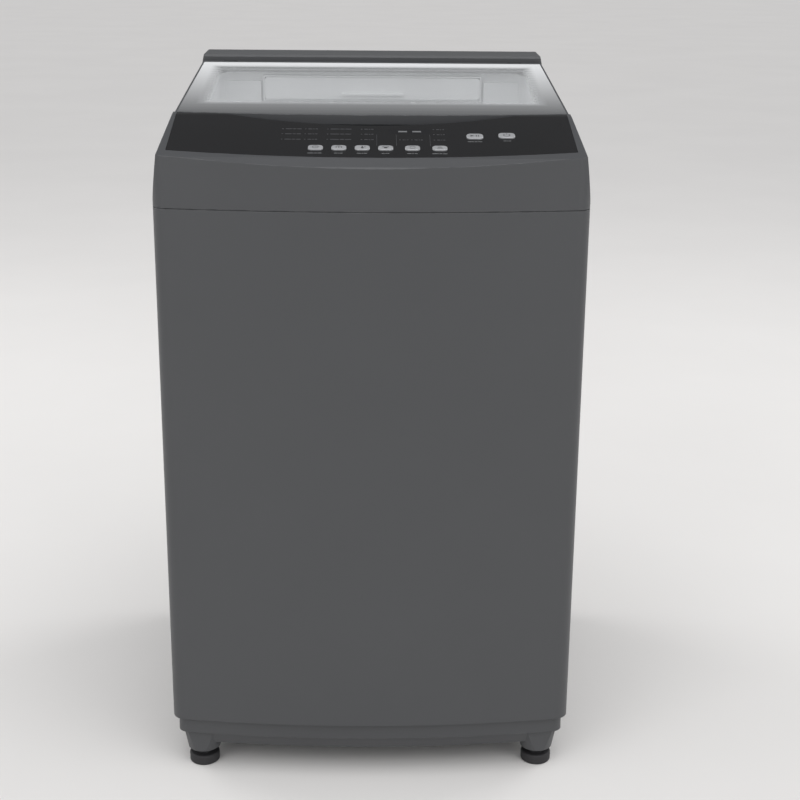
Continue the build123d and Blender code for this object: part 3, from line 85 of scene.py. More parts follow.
class Look:
    """A node material with helpers for the usual layers."""

    def __init__(self, name):
        self.material = bpy.data.materials.new(name)
        self.material.use_nodes = True
        self.tree = self.material.node_tree
        self.shader = self.tree.nodes["Principled BSDF"]
        self.output = self.tree.nodes["Material Output"]
        self.coordinates = self.node("ShaderNodeTexCoord").outputs["Object"]

    def node(self, kind, **settings):
        made = self.tree.nodes.new(kind)
        for key, value in settings.items():
            setattr(made, key, value)
        return made

    def link(self, source, target):
        self.tree.links.new(source, target)

    def set(self, **values):
        for key, value in values.items():
            self.shader.inputs[key.replace("_", " ")].default_value = value

    def noise(self, scale, detail=4.0, rough=0.55, stretch=None):
        noise = self.node("ShaderNodeTexNoise")
        noise.inputs["Scale"].default_value = scale
        noise.inputs["Detail"].default_value = detail
        noise.inputs["Roughness"].default_value = rough
        source = self.coordinates
        if stretch:
            mapping = self.node("ShaderNodeMapping")
            mapping.inputs["Scale"].default_value = stretch
            self.link(source, mapping.inputs["Vector"])
            source = mapping.outputs["Vector"]
        self.link(source, noise.inputs["Vector"])
        return noise.outputs["Fac"]

    def ramp(self, source, low, high, out_low=0.0, out_high=1.0):
        scale = self.node("ShaderNodeMapRange")
        scale.inputs["From Min"].default_value = low
        scale.inputs["From Max"].default_value = high
        scale.inputs["To Min"].default_value = out_low
        scale.inputs["To Max"].default_value = out_high
        self.link(source, scale.inputs["Value"])
        return scale.outputs["Result"]

    def math(self, operation, first, second=None):
        made = self.node("ShaderNodeMath", operation=operation)
        for slot, value in enumerate((first, second)):
            if value is None:
                continue
            if isinstance(value, (int, float)):
                made.inputs[slot].default_value = value
            else:
                self.link(value, made.inputs[slot])
        return made.outputs["Value"]

    def mix(self, amount, first, second):
        made = self.node("ShaderNodeMix", data_type="RGBA")
        self.feed(amount, made.inputs["Factor"])
        self.feed(first, made.inputs["A"])
        self.feed(second, made.inputs["B"])
        return made.outputs["Result"]

    def feed(self, value, socket):
        if hasattr(value, "links"):
            self.link(value, socket)
        else:
            socket.default_value = value

    def bump(self, height, strength, distance, before=None):
        made = self.node("ShaderNodeBump")
        made.inputs["Strength"].default_value = strength
        made.inputs["Distance"].default_value = distance
        self.link(height, made.inputs["Height"])
        if before is not None:
            self.link(before, made.inputs["Normal"])
        return made.outputs["Normal"]

    def edge_mask(self, radius):
        """1 near sharp convex edges, 0 on flats."""
        bevel = self.node("ShaderNodeBevel", samples=4)
        bevel.inputs["Radius"].default_value = radius
        plain = self.node("ShaderNodeNewGeometry").outputs["Normal"]
        dot = self.node("ShaderNodeVectorMath", operation="DOT_PRODUCT")
        self.link(bevel.outputs["Normal"], dot.inputs[0])
        self.link(plain, dot.inputs[1])
        return self.ramp(dot.outputs["Value"], 0.995, 0.80)

    def surface(self, colour, rough, vary=0.06, grain=900.0, bump=0.12, wear=None, wear_radius=0.0012,
                blotch=7.0, metallic=0.0, round_edge=0.0009):
        """Base colour with slow and fine variation, uneven gloss, a fine bump and worn edges."""
        slow = self.noise(blotch, 5.0)
        fine = self.noise(grain, 3.0)
        darker = tuple(c * (1 - vary) for c in colour[:3]) + (1.0,)
        lighter = tuple(min(1.0, c * (1 + vary)) for c in colour[:3]) + (1.0,)
        base = self.mix(self.ramp(slow, 0.3, 0.7), darker, lighter)
        if wear:
            mask = self.math("MULTIPLY", self.edge_mask(wear_radius), self.ramp(self.noise(60.0), 0.42, 0.62))
            base = self.mix(mask, base, wear)
        self.link(base, self.shader.inputs["Base Color"])
        smear = self.noise(22.0, 6.0, 0.6)
        self.link(self.ramp(smear, 0.25, 0.75, rough * 0.95, rough * 1.05), self.shader.inputs["Roughness"])
        rounded = self.node("ShaderNodeBevel", samples=4)
        rounded.inputs["Radius"].default_value = round_edge
        self.link(self.bump(fine, bump, 0.0002, rounded.outputs["Normal"]), self.shader.inputs["Normal"])
        self.set(Metallic=metallic)
        return base


def paint_look():
    """Satin powder coat with a fine orange peel."""
    look = Look("cabinet_paint")
    look.surface(grey(70, 71, 73), 0.42, vary=0.015, grain=900.0, bump=0.06, wear=grey(100, 101, 103),
                 round_edge=0.0015)
    return look.material


def rear_steel_look():
    look = Look("rear_steel")
    look.surface(grey(104, 105, 107), 0.42, vary=0.05, grain=260.0, bump=0.12, wear=grey(150))
    return look.material


def grey_plastic_look():
    """Moulded plastic with a fine satin grain."""
    look = Look("grey_plastic")
    look.surface(grey(70, 71, 73), 0.42, vary=0.025, grain=1500.0, bump=0.10, wear=grey(112, 113, 115))
    return look.material


def gloss_black_look():
    """High gloss black with faint dust and wipe marks."""
    look = Look("black_gloss")
    look.surface(grey(31, 31, 32), 0.22, vary=0.05, grain=700.0, bump=0.01, round_edge=0.0004)
    look.set(Specular_IOR_Level=0.12)
    return look.material


def lens_look():
    look = Look("smoked_lens")
    look.surface(grey(29, 29, 31), 0.2, vary=0.05, grain=500.0, bump=0.01, round_edge=0.0002)
    look.set(Specular_IOR_Level=0.12)
    return look.material


def button_look():
    """Silver lacquer over moulded caps, rubbed a little along the edges."""
    look = Look("button_silver")
    look.surface(grey(168, 169, 171), 0.34, vary=0.05, grain=2500.0, bump=0.08, wear=grey(200), blotch=90.0)
    look.set(Metallic=0.25)
    return look.material


def white_look():
    look = Look("white_plastic")
    look.surface(grey(238, 239, 240), 0.3, vary=0.02, grain=800.0, bump=0.05, wear=grey(238))
    look.set(Subsurface_Weight=0.05, Subsurface_Radius=(0.004, 0.004, 0.004))
    return look.material


def tub_look():
    look = Look("tub_plastic")
    look.surface(grey(205, 209, 211), 0.45, vary=0.03, grain=500.0, bump=0.1, wear=grey(225))
    return look.material


def metal_look(name, colour, rough, brushed=None, grain=900.0):
    """Metal with a brushed or a fine matt finish."""
    look = Look(name)
    look.surface(colour, rough, vary=0.06, grain=grain, bump=0.05, metallic=1.0)
    if brushed:
        lines = look.noise(60.0, 6.0, 0.7, stretch=brushed)
        look.link(look.ramp(lines, 0.3, 0.7, rough * 0.6, rough * 1.5), look.shader.inputs["Roughness"])
        look.link(look.bump(lines, 0.12, 0.0002), look.shader.inputs["Normal"])
    return look.material


def rubber_look():
    look = Look("rubber")
    look.surface(grey(42, 41, 43), 0.7, vary=0.12, grain=1400.0, bump=0.25, wear=grey(70))
    return look.material


def plain_look(name, colour, rough, **extra):
    look = Look(name)
    look.surface(colour, rough, **extra)
    return look.material


WINDOW_FRONT_BORDER = 0.0615
WINDOW_REAR_BORDER = 0.0270
WINDOW_HALF_WIDTH = 0.2235
WINDOW_FADE = 0.020
DOT_SCALE = 520.0
CLEAR_ALPHA = 0.22


def glass_look():
    """Tempered glass: a window under a faint pale sheet of painted haze, inside a printed silver border that fades
    out in dots and is painted light towards the rear.
    """
    look = Look("lid_glass")
    low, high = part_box("lid_glass")
    window_low = low.y + WINDOW_FRONT_BORDER
    window_high = high.y - WINDOW_REAR_BORDER
    half_y = (window_high - window_low) / 2
    mid_y = (window_high + window_low) / 2
    fade = WINDOW_FADE
    split = look.node("ShaderNodeSeparateXYZ")
    look.link(look.coordinates, split.inputs["Vector"])
    x, y = split.outputs["X"], split.outputs["Y"]
    out_x = look.math("SUBTRACT", look.math("ABSOLUTE", x), WINDOW_HALF_WIDTH)
    out_y = look.math("SUBTRACT", look.math("ABSOLUTE", look.math("SUBTRACT", y, mid_y)), half_y)
    edge = look.math("MAXIMUM", out_x, out_y)
    cover = look.ramp(edge, -fade / 2, fade / 2)
    dots = look.node("ShaderNodeTexVoronoi", feature="F1", distance="EUCLIDEAN")
    dots.inputs["Scale"].default_value = DOT_SCALE
    dots.inputs["Randomness"].default_value = 0.0
    look.link(look.coordinates, dots.inputs["Vector"])
    threshold = look.math("MULTIPLY", cover, 0.9)
    soft_dot = look.math("SUBTRACT", threshold, dots.outputs["Distance"])
    dotted = look.ramp(soft_dot, -0.25, 0.25)
    blend = look.math("MULTIPLY", look.math("ADD", dotted, cover), 0.5)
    printed = look.math("MULTIPLY", blend, look.ramp(edge, -fade * 0.7, -fade * 0.4))
    # The border ink runs from dark grey at the front edge to near white at the rear; the near-white rear end is
    # painted light that makes up for the weak light reaching the back of the lid.
    along = look.ramp(y, low.y, high.y)
    ink_and_painted_light = look.mix(along, grey(86, 87, 88), grey(246, 247, 248))
    # The window gets a pale, mostly see-through coat: painted haze that stands in for the glass's reflection.
    clear = grey(236, 238, 239)
    base = look.mix(printed, clear, ink_and_painted_light)
    look.link(base, look.shader.inputs["Base Color"])
    alpha = look.math("ADD", look.math("MULTIPLY", printed, 1 - CLEAR_ALPHA), CLEAR_ALPHA)
    look.link(alpha, look.shader.inputs["Alpha"])
    smear = look.noise(14.0, 6.0, 0.6)
    look.link(look.ramp(smear, 0.3, 0.7, 0.05, 0.12), look.shader.inputs["Roughness"])
    look.link(look.bump(look.noise(30.0, 2.0), 0.02, 0.0005), look.shader.inputs["Normal"])
    return look.material


def ink_look():
    """Pale printed marks on the panel."""
    look = Look("panel_ink")
    look.surface(grey(118, 119, 121), 0.4, vary=0.05, grain=3000.0, bump=0.05)
    return look.material


def faint_ink_look():
    look = Look("faint_ink")
    look.surface(grey(66, 66, 69), 0.35, vary=0.05, grain=3000.0, bump=0.05)
    return look.material


def make_looks():
    looks = {
        "cabinet_paint": paint_look(),
        "rear_steel": rear_steel_look(),
        "steel": metal_look("steel", grey(170, 171, 173), 0.35),
        "stainless": metal_look("stainless", grey(228, 228, 230), 0.40, brushed=(1.0, 1.0, 40.0)),
        "grey_plastic": grey_plastic_look(),
        "black_gloss": gloss_black_look(),
        "smoked_lens": lens_look(),
        "button_silver": button_look(),
        "lid_glass": glass_look(),
        "white_plastic": white_look(),
        "tub_plastic": tub_look(),
        "rubber": rubber_look(),
        "cast_alloy": metal_look("cast_alloy", grey(160, 161, 163), 0.5, grain=300.0),
        "motor_black": plain_look("motor_black", grey(48, 48, 50), 0.4, bump=0.1),
        "board_green": plain_look("board_green", grey(28, 84, 52), 0.4, grain=900.0, bump=0.2),
        "valve_white": plain_look("valve_white", grey(214, 213, 206), 0.45, wear=grey(230)),
        "magnet": metal_look("magnet", grey(90, 90, 92), 0.5),
        "panel_ink": ink_look(),
        "faint_ink": faint_ink_look(),
        "dark_ink": plain_look("dark_ink", grey(58, 58, 60), 0.5, grain=3000.0, bump=0.05),
    }
    return looks


# ---------------------------------------------------------------- mesh helpers
def add_piece(name, vertices, faces, look, body, smooth=True):
    """Mesh object that rides on a CAD body."""
    mesh = bpy.data.meshes.new(name)
    mesh.from_pydata([tuple(v) for v in vertices], [], faces)
    mesh.update()
    mesh.validate()
    for face in mesh.polygons:
        face.use_smooth = smooth
    obj = bpy.data.objects.new(name, mesh)
    bpy.context.scene.collection.objects.link(obj)
    mesh.materials.append(look)
    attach(obj, body)
    return obj


def prism(outline, place, thickness):
    """Vertices and faces of a flat plate: outline in metres on place's X and Y, thick along its Z."""
    count = len(outline)
    vertices = [place @ Vector((x, y, 0.0)) for x, y in outline]
    vertices += [place @ Vector((x, y, thickness)) for x, y in outline]
    faces = [tuple(reversed(range(count))), tuple(range(count, 2 * count))]
    faces += [(i, (i + 1) % count, count + (i + 1) % count, count + i) for i in range(count)]
    return vertices, faces


def join(parts):
    """One list of vertices and faces from several."""
    vertices, faces = [], []
    for some_vertices, some_faces in parts:
        shift = len(vertices)
        vertices += some_vertices
        faces += [tuple(i + shift for i in face) for face in some_faces]
    return vertices, faces


def bar(x, y, length, height):
    """Outline of a bar with its centre at x, y."""
    return [(x - length / 2, y - height / 2), (x + length / 2, y - height / 2),
            (x + length / 2, y + height / 2), (x - length / 2, y + height / 2)]


def disc(x, y, radius, count=16):
    return [(x + radius * math.cos(2 * math.pi * i / count), y + radius * math.sin(2 * math.pi * i / count))
            for i in range(count)]


def arc_strip(x, y, radius, width, start, end, count=20):
    """Outline of a curved strip from one angle to another, in degrees."""
    angles = [math.radians(start + (end - start) * i / count) for i in range(count + 1)]
    outer = [(x + (radius + width / 2) * math.cos(a), y + (radius + width / 2) * math.sin(a)) for a in angles]
    inner = [(x + (radius - width / 2) * math.cos(a), y + (radius - width / 2) * math.sin(a))
             for a in reversed(angles)]
    return outer + inner


def triangle(x, y, size):
    """Triangle that points right."""
    return [(x - size / 2, y - size / 2), (x + size / 2, y), (x - size / 2, y + size / 2)]


# ---------------------------------------------------------------- control panel marks
def joint_named(name):
    return next(joint for joint in frame["joints"] if joint["name"] == name)


def panel_axes():
    """Normal of the panel and its direction up the slope."""
    normal = -Vector(joint_named("button_power_press")["axis"]).normalized()
    return normal, normal.cross(Vector((1, 0, 0)))


def top_points(node):
    """Points on the flat top of a piece of the panel, and the panel's axes."""
    normal, upwards = panel_axes()
    points = [v.co for v in frame["nodes"][node].data.vertices]
    top = max(point.dot(normal) for point in points)
    return [point for point in points if top - point.dot(normal) < 0.00005], normal, upwards


def cap_place(node):
    """Frame on the flat top of a piece: X to the right, Y up the slope, Z out of the panel."""
    rim, normal, upwards = top_points(node)
    across = [point.x for point in rim]
    along = [point.dot(upwards) for point in rim]
    height = rim[0].dot(normal)
    centre = Vector(((min(across) + max(across)) / 2, 0, 0))
    centre += upwards * (min(along) + max(along)) / 2 + normal * height
    turn = Matrix((Vector((1, 0, 0)), upwards, normal)).transposed().to_4x4()
    return Matrix.Translation(centre) @ turn


ICON_SCALE = 1.5
ICON_THICK = 0.00012
MARK_THICK = 0.00008
LAMP_THICK = 0.00010
SINK = 0.00002
ICONS = {
    "button_delay": [disc(0, 0, 0.0005, 10), arc_strip(0, 0, 0.0024, 0.0006, 0, 330),
                     bar(0.0008, 0.0, 0.0018, 0.0005)],
    "button_speed": [arc_strip(0, 0, 0.0024, 0.0006, -40, 220), bar(0, 0, 0.0009, 0.0026)],
    "button_temperature": [disc(0, -0.0014, 0.0012), bar(0, 0.0008, 0.0010, 0.0030),
                           bar(0.0020, 0.0012, 0.0014, 0.0005), bar(0.0020, 0.0, 0.0014, 0.0005)],
    "button_soil": [bar(0, -0.0004, 0.0028, 0.0032), bar(-0.0021, 0.0010, 0.0012, 0.0012),
                    bar(0.0021, 0.0010, 0.0012, 0.0012)],
    "button_cycle": [arc_strip(0, 0, 0.0023, 0.0006, 20, 160), arc_strip(0, 0, 0.0023, 0.0006, 200, 340)],
    "button_water_level": [bar(0, -0.0016, 0.0048, 0.0006), bar(0, 0.0, 0.0036, 0.0006),
                           bar(0, 0.0016, 0.0024, 0.0006)],
    "button_start": [triangle(-0.0020, 0, 0.0034), bar(0.0012, 0, 0.0008, 0.0034),
                     bar(0.0030, 0, 0.0008, 0.0034)],
    "button_power": [arc_strip(0, 0, 0.0026, 0.0007, 120, 420), bar(0, 0.0022, 0.0007, 0.0026)],
}


def make_icons(looks):
    """Dark printed symbol on each cap, a hair proud of the lacquer."""
    larger = Matrix.Diagonal((ICON_SCALE, ICON_SCALE, 1, 1))
    for node, shapes in ICONS.items():
        place = cap_place(node) @ Matrix.Translation((0, 0, -2 * SINK)) @ larger
        vertices, faces = join([prism(shape, place, ICON_THICK) for shape in shapes])
        add_piece("icon_" + node, vertices, faces, looks["dark_ink"], node + "_body", False)


PANEL_RISE = 0.0018
CAPTION_WIDTHS = (0.019, 0.012, 0.014, 0.011, 0.014, 0.020, 0.020, 0.011)
CAPTION_DROP = 0.0150
INDICATOR_COLUMNS = ((-0.1096, 0.0226), (-0.081, 0.014), (-0.053, 0.029), (-0.0106, 0.0136), (0.037, 0.009),
                     (0.052, 0.012), (0.080, 0.012))
INDICATOR_ROWS = (0.073, 0.090, 0.106)
DIVIDERS = (0.0056, 0.0300, 0.0718)
DIVIDER_BACK = 0.072
DIVIDER_LENGTH = 0.036
DISPLAY_CLEAR_X = 0.028
DISPLAY_CLEAR_BACK = 0.010


def marks_row(x, y, width, height, gap, place):
    """Short bars side by side that stand in for a line of small print."""
    lengths = (0.42, 0.22, 0.30)
    parts = []
    start = x
    for share in lengths:
        length = width * share
        parts.append(prism(bar(start + length / 2, y, length - gap, height), place, MARK_THICK))
        start += length
    return parts


def make_panel_marks(looks):
    """Captions without words below the buttons, indicator rows and thin dividers."""
    captions = []
    for node, width in zip(ICONS, CAPTION_WIDTHS):
        place = cap_place(node) @ Matrix.Translation((0, 0, -PANEL_RISE - SINK))
        captions += marks_row(-width / 2, -CAPTION_DROP, width, 0.0016, 0.0008, place)
    vertices, faces = join(captions)
    add_piece("panel_captions", vertices, faces, looks["panel_ink"], "root", False)
    place = cap_place("button_delay") @ Matrix.Translation((0, 0, -PANEL_RISE - SINK))
    start_x = place.translation.x
    start_back = place.translation.y - cad_box[0].y
    slope = math.cos(math.atan2(panel_axes()[1].z, panel_axes()[1].y))
    lens_place = cap_place("display_lens").translation
    lens_back = lens_place.y - cad_box[0].y
    faint = []
    for x, width in INDICATOR_COLUMNS:
        for back in INDICATOR_ROWS:
            middle = x + width / 2
            if abs(middle - lens_place.x) < DISPLAY_CLEAR_X and abs(back - lens_back) < DISPLAY_CLEAR_BACK:
                continue
            up = (back - start_back) / slope
            faint += marks_row(x - start_x, up, width, 0.0022, 0.0012, place)
            faint.append(prism(disc(x - start_x - 0.0028, up, 0.0011, 12), place, LAMP_THICK))
    for x in DIVIDERS:
        up = (DIVIDER_BACK - start_back) / slope
        faint.append(prism(bar(x - start_x, up, 0.0005, DIVIDER_LENGTH), place, MARK_THICK))
    vertices, faces = join(faint)
    add_piece("panel_indicators", vertices, faces, looks["faint_ink"], "root", False)


def make_display_digits(looks):
    """Two idle dashes on the display window."""
    place = cap_place("display_lens") @ Matrix.Translation((0, 0, -SINK))
    parts = [prism(bar(x, 0, 0.0110, 0.0042), place, LAMP_THICK) for x in (-0.0088, 0.0088)]
    vertices, faces = join(parts)
    add_piece("display_dashes", vertices, faces, looks["panel_ink"], "root", False)


# ---------------------------------------------------------------- basket, pulsator and filters
BEAD_RISE = 0.0025
BEAD_LEVELS = (0.330, 0.470, 0.610)
BEAD_HALF = 0.009
HOLE_RADIUS = 0.0021
BASKET_COLUMNS = 72
BASKET_ROW = 0.0178


def basket_rows(bottom, top):
    """Levels of the drum's rows and whether each row is perforated."""
    stops = [bottom + 0.006]
    for bead in BEAD_LEVELS:
        stops += [bead - BEAD_HALF, bead + BEAD_HALF]
    stops.append(top - 0.006)
    levels, holed = [bottom], []
    for index, stop in enumerate(stops):
        gap = stop - levels[-1]
        perforated = index % 2 == 1
        step = BASKET_ROW if perforated else 0.003
        count = max(1, round(gap / step))
        for _ in range(count):
            levels.append(levels[-1] + gap / count)
            holed.append(perforated)
    levels.append(top)
    holed.append(False)
    return levels, holed


def drum_radius(radius, z):
    bulge = sum(math.exp(-((z - bead) / 0.0038) ** 2) for bead in BEAD_LEVELS)
    return radius + BEAD_RISE * min(1.0, bulge)


def make_basket(looks):
    """Steel drum with its full pattern of holes and rolled beads."""
    low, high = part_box("wash_basket")
    middle = (low + high) / 2
    radius = (high.x - low.x) / 2 - BEAD_RISE - 0.0002
    levels, holed = basket_rows(low.z, high.z)
    vertices, faces = [], []

    def point(column, z, spin=0.0):
        angle = 2 * math.pi * (column + spin) / BASKET_COLUMNS
        reach = drum_radius(radius, z)
        return (middle.x + reach * math.cos(angle), middle.y + reach * math.sin(angle), z)

    for z in levels:
        vertices += [point(column, z) for column in range(BASKET_COLUMNS)]
    arc = 2 * math.pi * radius / BASKET_COLUMNS
    for row, perforated in enumerate(holed):
        for column in range(BASKET_COLUMNS):
            after = (column + 1) % BASKET_COLUMNS
            a, b = row * BASKET_COLUMNS + column, row * BASKET_COLUMNS + after
            c, d = b + BASKET_COLUMNS, a + BASKET_COLUMNS
            if not perforated:
                faces.append((a, b, c, d))
                continue
            first = len(vertices)
            mid_z = (levels[row] + levels[row + 1]) / 2
            for step in range(8):
                turn = math.radians(22.5 + 45 * step)
                spin = 0.5 + HOLE_RADIUS * math.cos(turn) / arc
                vertices.append(point(column, mid_z + HOLE_RADIUS * math.sin(turn), spin))
            hole = [first + step for step in range(8)]
            faces += [(b, c, hole[0], hole[7]), (c, hole[1], hole[0]), (c, d, hole[2], hole[1]),
                      (d, hole[3], hole[2]), (d, a, hole[4], hole[3]), (a, hole[5], hole[4]),
                      (a, b, hole[6], hole[5]), (b, hole[7], hole[6])]
    drum = add_piece("basket_drum", vertices, faces, looks["stainless"], "basket")
    shell = drum.modifiers.new("sheet", "SOLIDIFY")
    shell.thickness = 0.001
    shell.offset = -1.0
    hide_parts("wash_basket")


BLADES = 5
BLADE_HEIGHT = 0.021


def pulsator_height(share, angle):
    """Height above the rim for a place given as a share of the radius and an angle."""
    dome = 0.039 * math.exp(-((share / 0.30) ** 2)) + 0.004 * (1 - share)
    swirl = angle - 0.9 * share
    phase = (swirl * BLADES / (2 * math.pi)) % 1.0 - 0.5
    width = 0.060 + 0.10 * (1 - share)
    blade = math.exp(-((phase / width) ** 2))
    reach = math.sin(math.pi * min(1.0, max(0.0, (share - 0.12) / 0.84))) ** 0.55
    lift = BLADE_HEIGHT * blade * reach * (1 - 0.25 * share)
    rim = 0.0045 * math.exp(-(((share - 0.97) / 0.02) ** 2))
    return max(dome, lift + 0.35 * dome) + rim


def make_pulsator(looks):
    """Wash plate with a dome and five swept blades, as one smooth shell."""
    low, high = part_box("pulsator")
    middle = (low + high) / 2
    radius = (high.x - low.x) / 2
    base = low.z + 0.0045
    limit = high.z - 0.0003
    rings, sectors = 44, 180
    vertices, faces = [], []
    for ring in range(rings + 1):
        share = 0.02 + 0.98 * ring / rings
        for sector in range(sectors):
            angle = 2 * math.pi * sector / sectors
            z = min(limit, base + pulsator_height(share, angle))
            reach = radius * share
            vertices.append((middle.x + reach * math.cos(angle), middle.y + reach * math.sin(angle), z))
    for ring in range(rings):
        for sector in range(sectors):
            after = (sector + 1) % sectors
            inner, outer = ring * sectors, (ring + 1) * sectors
            faces.append((inner + sector, outer + sector, outer + after, inner + after))
    centre = len(vertices)
    vertices.append((middle.x, middle.y, limit))
    faces += [(centre, sector, (sector + 1) % sectors) for sector in range(sectors)]
    rim = rings * sectors
    skirt = len(vertices)
    for sector in range(sectors):
        x, y, z = vertices[rim + sector]
        vertices.append((x, y, low.z))
    for sector in range(sectors):
        after = (sector + 1) % sectors
        faces.append((rim + sector, skirt + sector, skirt + after, rim + after))
    plate = add_piece("wash_plate", vertices, faces, looks["white_plastic"], "agitator")
    shell = plate.modifiers.new("wall", "SOLIDIFY")
    shell.thickness = 0.003
    shell.offset = -1.0
    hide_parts("pulsator")


SCREEN_COLUMNS = 22
SCREEN_ROWS = 34
SCREEN_HALF_WIDTH = 0.0332
SCREEN_DEPTH = 0.0085
SCREEN_END_GAP = 0.012
SCREEN_ROW_GAP = 0.013
STRAND = 0.0006
CROSS_STRAND = 0.0005


def make_filter_screens(looks):
    """Fine lattice behind the slots of each lint filter."""
    for node, body in (("lint_filter_left", "filter_left"), ("lint_filter_right", "filter_right")):
        low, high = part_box(node)
        inward = 1 if low.x < 0 else -1
        x = (high.x if inward > 0 else low.x) - inward * SCREEN_DEPTH
        parts = []
        half = SCREEN_HALF_WIDTH
        height = high.z - low.z
        centre_y = (low.y + high.y) / 2
        place = Matrix.Translation((x, centre_y, 0)) @ Matrix(((0, 0, inward, 0), (1, 0, 0, 0), (0, 1, 0, 0),
                                                               (0, 0, 0, 1)))
        for column in range(SCREEN_COLUMNS):
            y = -half + 2 * half * (column + 0.5) / SCREEN_COLUMNS
            strand = bar(y, (low.z + high.z) / 2, STRAND, height - 2 * SCREEN_END_GAP)
            parts.append(prism(strand, place, STRAND))
        for row in range(SCREEN_ROWS):
            z = low.z + SCREEN_ROW_GAP + (height - 2 * SCREEN_ROW_GAP) * (row + 0.5) / SCREEN_ROWS
            parts.append(prism(bar(0, z, 2 * half, STRAND), place, CROSS_STRAND))
        vertices, faces = join(parts)
        add_piece("screen_" + body, vertices, faces, looks["valve_white"], body, False)


# ---------------------------------------------------------------- screws and threads
SCREW_HEAD_RADIUS = 0.0040
SCREW_HEAD_RISE = 0.0022


def screw_head(x, z, y):
    """Pan head with a cross recess, pointing to the rear."""
    rings, sectors = 9, 32
    vertices, faces = [], []
    for ring in range(rings + 1):
        share = ring / rings
        for sector in range(sectors):
            angle = 2 * math.pi * sector / sectors
            u, v = share * math.cos(angle), share * math.sin(angle)
            rise = SCREW_HEAD_RISE * math.sqrt(max(0.0, 1 - 0.92 * share**4))
            in_cross = min(abs(u), abs(v)) < 0.13 and max(abs(u), abs(v)) < 0.55
            if in_cross:
                rise -= 0.0012
            vertices.append((x + SCREW_HEAD_RADIUS * u, y + rise, z + SCREW_HEAD_RADIUS * v))
    for ring in range(rings):
        for sector in range(sectors):
            after = (sector + 1) % sectors
            inner, outer = ring * sectors, (ring + 1) * sectors
            faces.append((inner + sector, inner + after, outer + after, outer + sector))
    skirt = len(vertices)
    rim = rings * sectors
    for sector in range(sectors):
        vertex = vertices[rim + sector]
        vertices.append((vertex[0], y - 0.0005, vertex[2]))
    for sector in range(sectors):
        after = (sector + 1) % sectors
        faces.append((rim + sector, rim + after, skirt + after, skirt + sector))
    faces.append(tuple(skirt + sector for sector in range(sectors)))
    return vertices, faces


def make_screw_heads(looks):
    """A recessed head on each of the rear screws."""
    obj = frame["nodes"]["rear_screws"]
    groups = {}
    head_y = max(v.co.y for v in obj.data.vertices)
    for vertex in obj.data.vertices:
        if head_y - vertex.co.y < 0.0001:
            key = (round(vertex.co.x / 0.02), round(vertex.co.z / 0.02))
            groups.setdefault(key, []).append(vertex.co)
    centres = []
    for points in groups.values():
        x = sum(p.x for p in points) / len(points)
        z = sum(p.z for p in points) / len(points)
        if all(abs(x - cx) > 0.01 or abs(z - cz) > 0.01 for cx, cz in centres):
            centres.append((x, z))
    parts = [screw_head(x, z, head_y - SCREW_HEAD_RISE) for x, z in centres]
    vertices, faces = join(parts)
    heads = add_piece("rear_screw_heads", vertices, faces, looks["steel"], "root")
    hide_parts("rear_screws")


# ---------------------------------------------------------------- set up
def dress_frame(looks):
    """Give every CAD node its material."""
    slots = {part["node"]: part["material_slot"] for part in frame["record"]["subparts"]}
    for name, obj in frame["nodes"].items():
        obj.data.materials.clear()
        obj.data.materials.append(looks[slots[name]])


def make_floor():
    size = 40.0
    mesh = bpy.data.meshes.new("floor")
    corners = [(-size, -size, 0), (size, -size, 0), (size, size, 0), (-size, size, 0)]
    mesh.from_pydata(corners, [], [(0, 1, 2, 3)])
    floor = bpy.data.objects.new("floor", mesh)
    bpy.context.scene.collection.objects.link(floor)
    look = Look("floor_pale")
    look.surface(grey(228, 226, 224), 0.8, vary=0.015, grain=40.0, bump=0.03, blotch=1.5)
    look.set(Specular_IOR_Level=0.0)
    mesh.materials.append(look.material)


def make_light(name, place, target, size, power):
    data = bpy.data.lights.new(name, "AREA")
    data.shape = "RECTANGLE"
    data.size, data.size_y = size
    data.energy = power
    lamp = bpy.data.objects.new(name, data)
    bpy.context.scene.collection.objects.link(lamp)
    lamp.location = place
    aim = Vector(target) - Vector(place)
    lamp.rotation_euler = aim.to_track_quat("-Z", "Y").to_euler()


DARK_DIRECTION = (0.0, 0.731, 0.682)


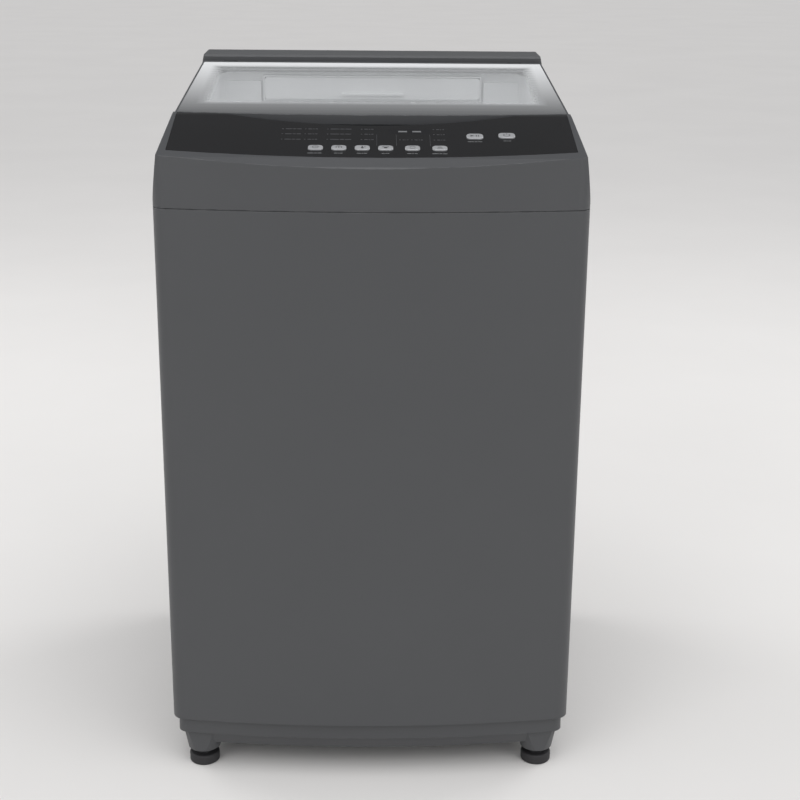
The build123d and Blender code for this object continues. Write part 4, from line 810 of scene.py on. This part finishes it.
def make_world():
    """Even studio light, dimmer high behind the machine, where the gloss panel mirrors it."""
    world = bpy.data.worlds.new("studio")
    world.use_nodes = True
    back = world.node_tree.nodes["Background"]
    back.inputs["Color"].default_value = (0.97, 0.98, 1.0, 1.0)
    tree = world.node_tree
    direction = tree.nodes.new("ShaderNodeTexCoord")
    facing = tree.nodes.new("ShaderNodeVectorMath")
    facing.operation = "DOT_PRODUCT"
    facing.inputs[1].default_value = DARK_DIRECTION
    tree.links.new(direction.outputs["Generated"], facing.inputs[0])
    shade = tree.nodes.new("ShaderNodeMapRange")
    shade.interpolation_type = "SMOOTHSTEP"
    shade.inputs["From Min"].default_value = 0.62
    shade.inputs["From Max"].default_value = 0.94
    shade.inputs["To Min"].default_value = 0.66
    shade.inputs["To Max"].default_value = 0.20
    tree.links.new(facing.outputs["Value"], shade.inputs["Value"])
    tree.links.new(shade.outputs["Result"], back.inputs["Strength"])
    bpy.context.scene.world = world


def make_sun():
    """Wide soft overhead light that keeps the floor evenly pale."""
    data = bpy.data.lights.new("overhead", "SUN")
    data.energy = 0.85
    data.angle = math.radians(60)
    lamp = bpy.data.objects.new("overhead", data)
    bpy.context.scene.collection.objects.link(lamp)
    lamp.rotation_euler = (math.radians(18), math.radians(8), 0.0)


def make_lights():
    make_world()
    make_light("key", (-1.9, -2.6, 1.9), (0, 0, 0.45), (1.8, 1.5), 17)
    make_light("fill", (2.2, -2.4, 1.5), (0, 0, 0.45), (1.8, 1.5), 11)
    make_light("top", (0, -0.9, 3.4), (0, 0, 0.6), (2.2, 1.6), 8)
    make_sun()
    make_light("rear_left", (-2.6, 1.4, 2.4), (0, 0.4, 0.5), (1.5, 1.5), 22)
    make_light("rear_right", (2.6, 1.4, 2.4), (0, 0.4, 0.5), (1.5, 1.5), 22)


def make_camera():
    data = bpy.data.cameras.new("photo_camera")
    data.lens = CAMERA_LENS
    data.sensor_width = 36.0
    camera = bpy.data.objects.new("photo_camera", data)
    bpy.context.scene.collection.objects.link(camera)
    camera.location = (0.0, -CAMERA_DISTANCE, CAMERA_HEIGHT)
    turn = Matrix.Rotation(-math.radians(CAMERA_YAW), 3, "Z")
    tilt = Matrix.Rotation(math.radians(90.0 - CAMERA_PITCH), 3, "X")
    roll = Matrix.Rotation(math.radians(CAMERA_ROLL), 3, "Z")
    camera.rotation_euler = (turn @ tilt @ roll).to_euler()
    bpy.context.scene.camera = camera
    bpy.context.scene.view_settings.view_transform = "Standard"


looks = make_looks()
dress_frame(looks)
make_icons(looks)
make_panel_marks(looks)
make_display_digits(looks)
make_basket(looks)
make_pulsator(looks)
make_filter_screens(looks)
make_screw_heads(looks)
make_floor()
make_lights()
make_camera()
